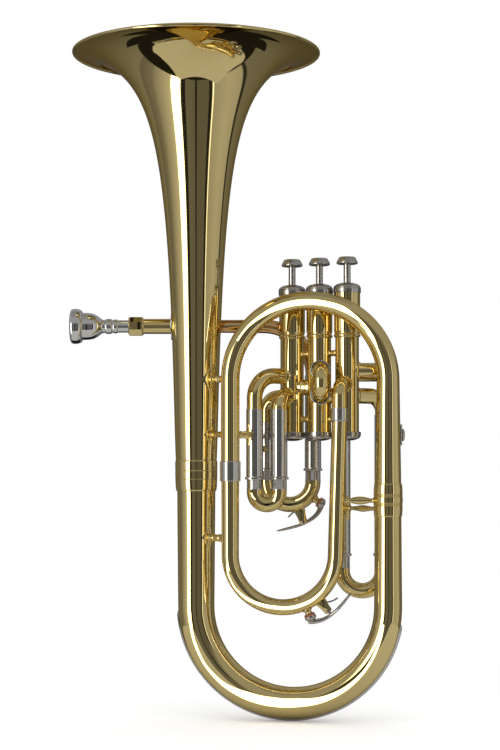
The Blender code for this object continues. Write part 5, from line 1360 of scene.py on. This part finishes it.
# Each light ribbon is a glowing sheet close in front of a bend. It lights nothing and, seen only
# in reflections, paints a highlight band on the tube: angle round the bend, then where that painted
# highlight lies across the tube, from -1 on the inside of the bend to 1 on the outside
ribbonTable = {
    "archRibbon": {
        "centre": (14.1, -13.98, 277.0), "bend": 63.6, "tube": (9.2, 7.6, 7.5), "turn": 0,
        "band": (
            (25, -0.50, -0.36), (35, -0.40, -0.20), (50, -0.34, -0.08), (65, -0.40, 0.12),
            (80, -0.49, 0.06), (95, -0.51, 0.10), (110, -0.42, 0.17), (125, -0.22, 0.18),
            (140, 0.08, 0.30), (152, 0.17, 0.37),
        ),
    },
    "loopRibbon": {
        "centre": (-7.0, -13.98, 136.1), "bend": 42.5, "tube": (6.4, 6.5, 6.9), "turn": 0,
        "band": (
            (190, 0.44, 0.58), (200, 0.56, 0.72), (215, 0.58, 0.77), (230, 0.30, 0.66),
            (245, 0.00, 0.42), (260, -0.20, 0.26), (275, -0.16, 0.27), (290, -0.16, 0.27),
            (305, -0.10, 0.27), (320, -0.14, 0.10), (335, -0.35, -0.12), (350, -0.50, -0.30),
        ),
    },
    "bowRibbon": {
        "centre": (0, 0, 93.75), "bend": 78.95, "tube": (11.3, 13.0, 14.9), "turn": -bowTurn,
        "band": (
            (184, 0.27, 0.41), (200, 0.35, 0.50), (215, 0.41, 0.55), (230, 0.28, 0.53),
            (245, -0.10, 0.41), (260, -0.32, 0.25), (275, -0.40, 0.14), (290, -0.24, 0.15),
            (305, -0.17, 0.10), (320, -0.19, 0.00), (335, -0.30, -0.12), (350, -0.38, -0.24),
        ),
    },
    "slideOneLeftRibbon": {
        "centre": (-19.85, 5.5, 186.0), "bend": 9.95, "tube": (6.4, 6.4, 6.4), "turn": 0,
        "band": ((182, 0.34, 0.53), (195, 0.24, 0.46), (212, 0.10, 0.26)),
    },
    "slideOneRightRibbon": {
        "centre": (-19.85, 5.5, 186.0), "bend": 9.95, "tube": (6.4, 6.4, 6.4), "turn": 0,
        "band": ((305, -0.30, -0.02), (330, -0.46, -0.24), (352, -0.52, -0.36)),
    },
    "tuningRightRibbon": {
        "centre": (-0.2, 40.0, 194.6), "bend": 19.2, "tube": (6.4, 6.4, 6.4), "turn": 0,
        "band": (
            (285, -0.50, -0.38), (310, -0.50, -0.36), (335, -0.44, -0.30), (352, -0.46, -0.34),
        ),
    },
}
# The same painted highlight along an upright tube: from and to what height, and where its band lies
# across
uprightTable = {
    "slideOneRibbon": {
        "axis": (-29.8, 5.5), "tube": 6.9, "rise": (189, 268), "band": (-0.53, -0.34),
    },
    "tuningSlideRibbon": {
        "axis": (19.0, 40.0), "tube": 6.9, "rise": (206, 228), "band": (-0.50, -0.38),
    },
}


def curvedPanel(fromAzimuth, toAzimuth, fromElevation, toElevation, distance):
    # Part of a sphere round the horn: an upright arc of vertices, spun about Z
    shape = bmesh.new()
    rise, sweep = toElevation - fromElevation, toAzimuth - fromAzimuth
    rows = max(2, round(rise / 4) + 1)
    azimuth = math.radians(fromAzimuth)
    arc = []
    for row in range(rows):
        elevation = math.radians(fromElevation + rise * row / (rows - 1))
        arc.append(shape.verts.new((
            distance * math.cos(elevation) * math.sin(azimuth),
            -distance * math.cos(elevation) * math.cos(azimuth),
            distance * math.sin(elevation),
        )))
    edges = [shape.edges.new(pair) for pair in zip(arc, arc[1:])]
    bmesh.ops.spin(
        shape, geom=arc + edges, axis=(0, 0, 1), cent=(0, 0, 0), angle=math.radians(sweep),
        steps=max(4, round(sweep / 3)), use_merge=sweep >= 360,
    )
    return shape


def ribbonAngle(tube, reach, share, lean):
    # Where the glowing sheet has to stand round the tube for its painted highlight to show at this
    # share of its width
    surface = math.asin(share)
    leaving = 2 * surface + lean
    return leaving + math.asin(tube / reach * math.sin(surface - leaving))


def ribbonRow(middle, out, tube, edges, lean, twist=0.0):
    # A row of points across the light, just in front of a tube
    reach = tube + studioTable["ribbonGap"]
    low, high = (ribbonAngle(tube, reach, share, lean) + twist for share in edges)
    row = []
    for part in range(7):
        around = low + (high - low) * part / 6
        front = Vector((0, reach * math.cos(around), 0))
        row.append(middle + out * reach * math.sin(around) - front)
    return row


def facingTube(rows, place):
    # A skin over the rows that shines backwards, towards its tube
    shape = skinned(rows, closed=False)
    bmesh.ops.recalc_face_normals(shape, faces=shape.faces)
    if sum(face.normal.y for face in shape.faces) < 0:
        bmesh.ops.reverse_faces(shape, faces=shape.faces)
    bmesh.ops.transform(shape, matrix=place, verts=shape.verts)
    return shape


def bentRibbon(values):
    band, centre, eye = values["band"], Vector(values["centre"]), Vector(cameraTable["place"])
    radii = [(index * 90, radius) for index, radius in enumerate(values["tube"])]
    steps = studioTable["ribbonSteps"]
    rows = []
    for step in range(steps + 1):
        degrees = band[0][0] + (band[-1][0] - band[0][0]) * step / steps
        edges = [stagedValue([(row[0], row[side]) for row in band], degrees) for side in (1, 2)]
        out = spoke(degrees)
        middle = out * values["bend"]
        # Tube radii are given at 0, 90 and 180 degrees for an arch, and 360, 270, 180 for a bow
        tube = stagedValue(radii, min(degrees, 360 - degrees))
        lean = math.atan((centre + middle - eye).dot(out) / -eye.y)
        twist = -values["turn"] * math.cos(math.radians(degrees))
        rows.append(ribbonRow(middle, out, tube, edges, lean, twist))
    place = Matrix.Scale(0.001, 4) @ Matrix.Translation(centre)
    return facingTube(rows, place @ Matrix.Rotation(values["turn"], 4, "Z"))


def uprightRibbon(values):
    eye = Vector(cameraTable["place"])
    lean = math.atan((values["axis"][0] - eye.x) / -eye.y)
    out, band = Vector((1, 0, 0)), values["band"]
    middles = [raised(values["axis"], height) for height in values["rise"]]
    rows = [ribbonRow(middle, out, values["tube"], band, lean) for middle in middles]
    return facingTube(rows, Matrix.Scale(0.001, 4))


def makeStudio(table, ribbons, uprights):
    bottom, top = table["wallBottom"], table["wallTop"]
    panels = {
        "studioWall": (
            bottom, top, wallMaterial("studioWallGlow", table["wallStops"], table["plainAbove"]),
        ),
        "studioCeiling": (top, 90, glowMaterial("studioCeilingGlow", table["ceiling"])),
        "studioLowFloor": (-90, bottom, glowMaterial("studioLowFloorGlow", table["lowFloor"])),
    }
    for name, (low, high, look) in panels.items():
        stageObject(name, curvedPanel(-180, 180, low, high, table["distance"]), look)
    dark = glowMaterial("darkBackGlow", table["lowFloor"])
    for number, extent in enumerate(table["darkBacks"]):
        stageObject(f"darkBack{number}", curvedPanel(*extent, table["darkDistance"]), dark)
    # The ribbons glow only for reflections and light nothing: they are painted highlights on the
    # tubes
    glow = glowMaterial("paintedHighlightGlow", table["paintedHighlightGlow"], oneSided=True)
    for name, values in ribbons.items():
        stageObject(name, bentRibbon(values), glow)
    for name, values in uprights.items():
        stageObject(name, uprightRibbon(values), glow)


floorTable = {
    "left": -0.39, "right": 0.38, "front": -0.42, "back": 0.16, "corner": 0.09, "colour": 0.95,
    "mirrored": 0.5, "lift": 0.12, "lampSize": 0.9, "lampHeight": 1.6, "lampPower": 1.5,
}


def makeFloor(table):
    shape = bmesh.new()
    bmesh.ops.create_grid(shape, x_segments=1, y_segments=1, size=0.5)
    width, depth = table["right"] - table["left"], table["back"] - table["front"]
    bmesh.ops.scale(shape, vec=(width, depth, 1), verts=shape.verts)
    bmesh.ops.translate(
        shape, verts=shape.verts,
        vec=((table["right"] + table["left"]) / 2, (table["back"] + table["front"]) / 2, 0),
    )
    bmesh.ops.bevel(
        shape, geom=shape.verts, offset=table["corner"], offset_type="OFFSET", segments=8,
        profile=0.5, affect="VERTICES", material=-1,
    )
    look, nodes, links = newLook("paleFloor")
    seen = nodes.new("ShaderNodeLightPath").outputs["Is Camera Ray"]
    mirrored, colour = ((*[table[key]] * 3, 1) for key in ("mirrored", "colour"))
    feed(links, nodes["Principled BSDF"], {
        "Roughness": 1.0, "Specular IOR Level": 0.0, "Emission Color": (1, 1, 1, 1),
        "Emission Strength": mathNode(nodes, links, "MULTIPLY", seen, table["lift"]),
        "Base Color": mixedColour(nodes, links, seen, mirrored, colour),
    })
    stageObject("paleFloorSheet", shape, look, cameraSees=True)
    lamp = bpy.data.lights.new("overheadLamp", "AREA")
    lamp.shape = "DISK"
    lamp.size = table["lampSize"]
    lamp.energy = table["lampPower"]
    hung = bpy.data.objects.new("overheadLamp", lamp)
    hung.location = (0, 0, table["lampHeight"])
    hung.visible_glossy = False
    hung.visible_camera = False
    bpy.context.scene.collection.objects.link(hung)


def makeWorld():
    world = bpy.data.worlds.new("whiteWorld")
    bpy.context.scene.world = world
    world.use_nodes = True
    background = world.node_tree.nodes["Background"]
    feed(world.node_tree.links, background, {"Color": (1, 1, 1, 1), "Strength": 1.0})


def makeCamera(table):
    data = bpy.data.cameras.new("photoCamera")
    data.sensor_width = table["sensor"]
    data.lens = table["focal"] * table["sensor"] / table["picture"]
    data.shift_y = table["shift"] / table["picture"]
    camera = bpy.data.objects.new("photoCamera", data)
    camera.location = Vector(table["place"]) / 1000
    camera.rotation_euler = (math.pi / 2, 0, 0)
    bpy.context.scene.collection.objects.link(camera)
    bpy.context.scene.camera = camera


makeStudio(studioTable, ribbonTable, uprightTable)
makeFloor(floorTable)
makeWorld()
makeCamera(cameraTable)
bpy.context.scene.view_settings.view_transform = "Standard"
print("studio made")
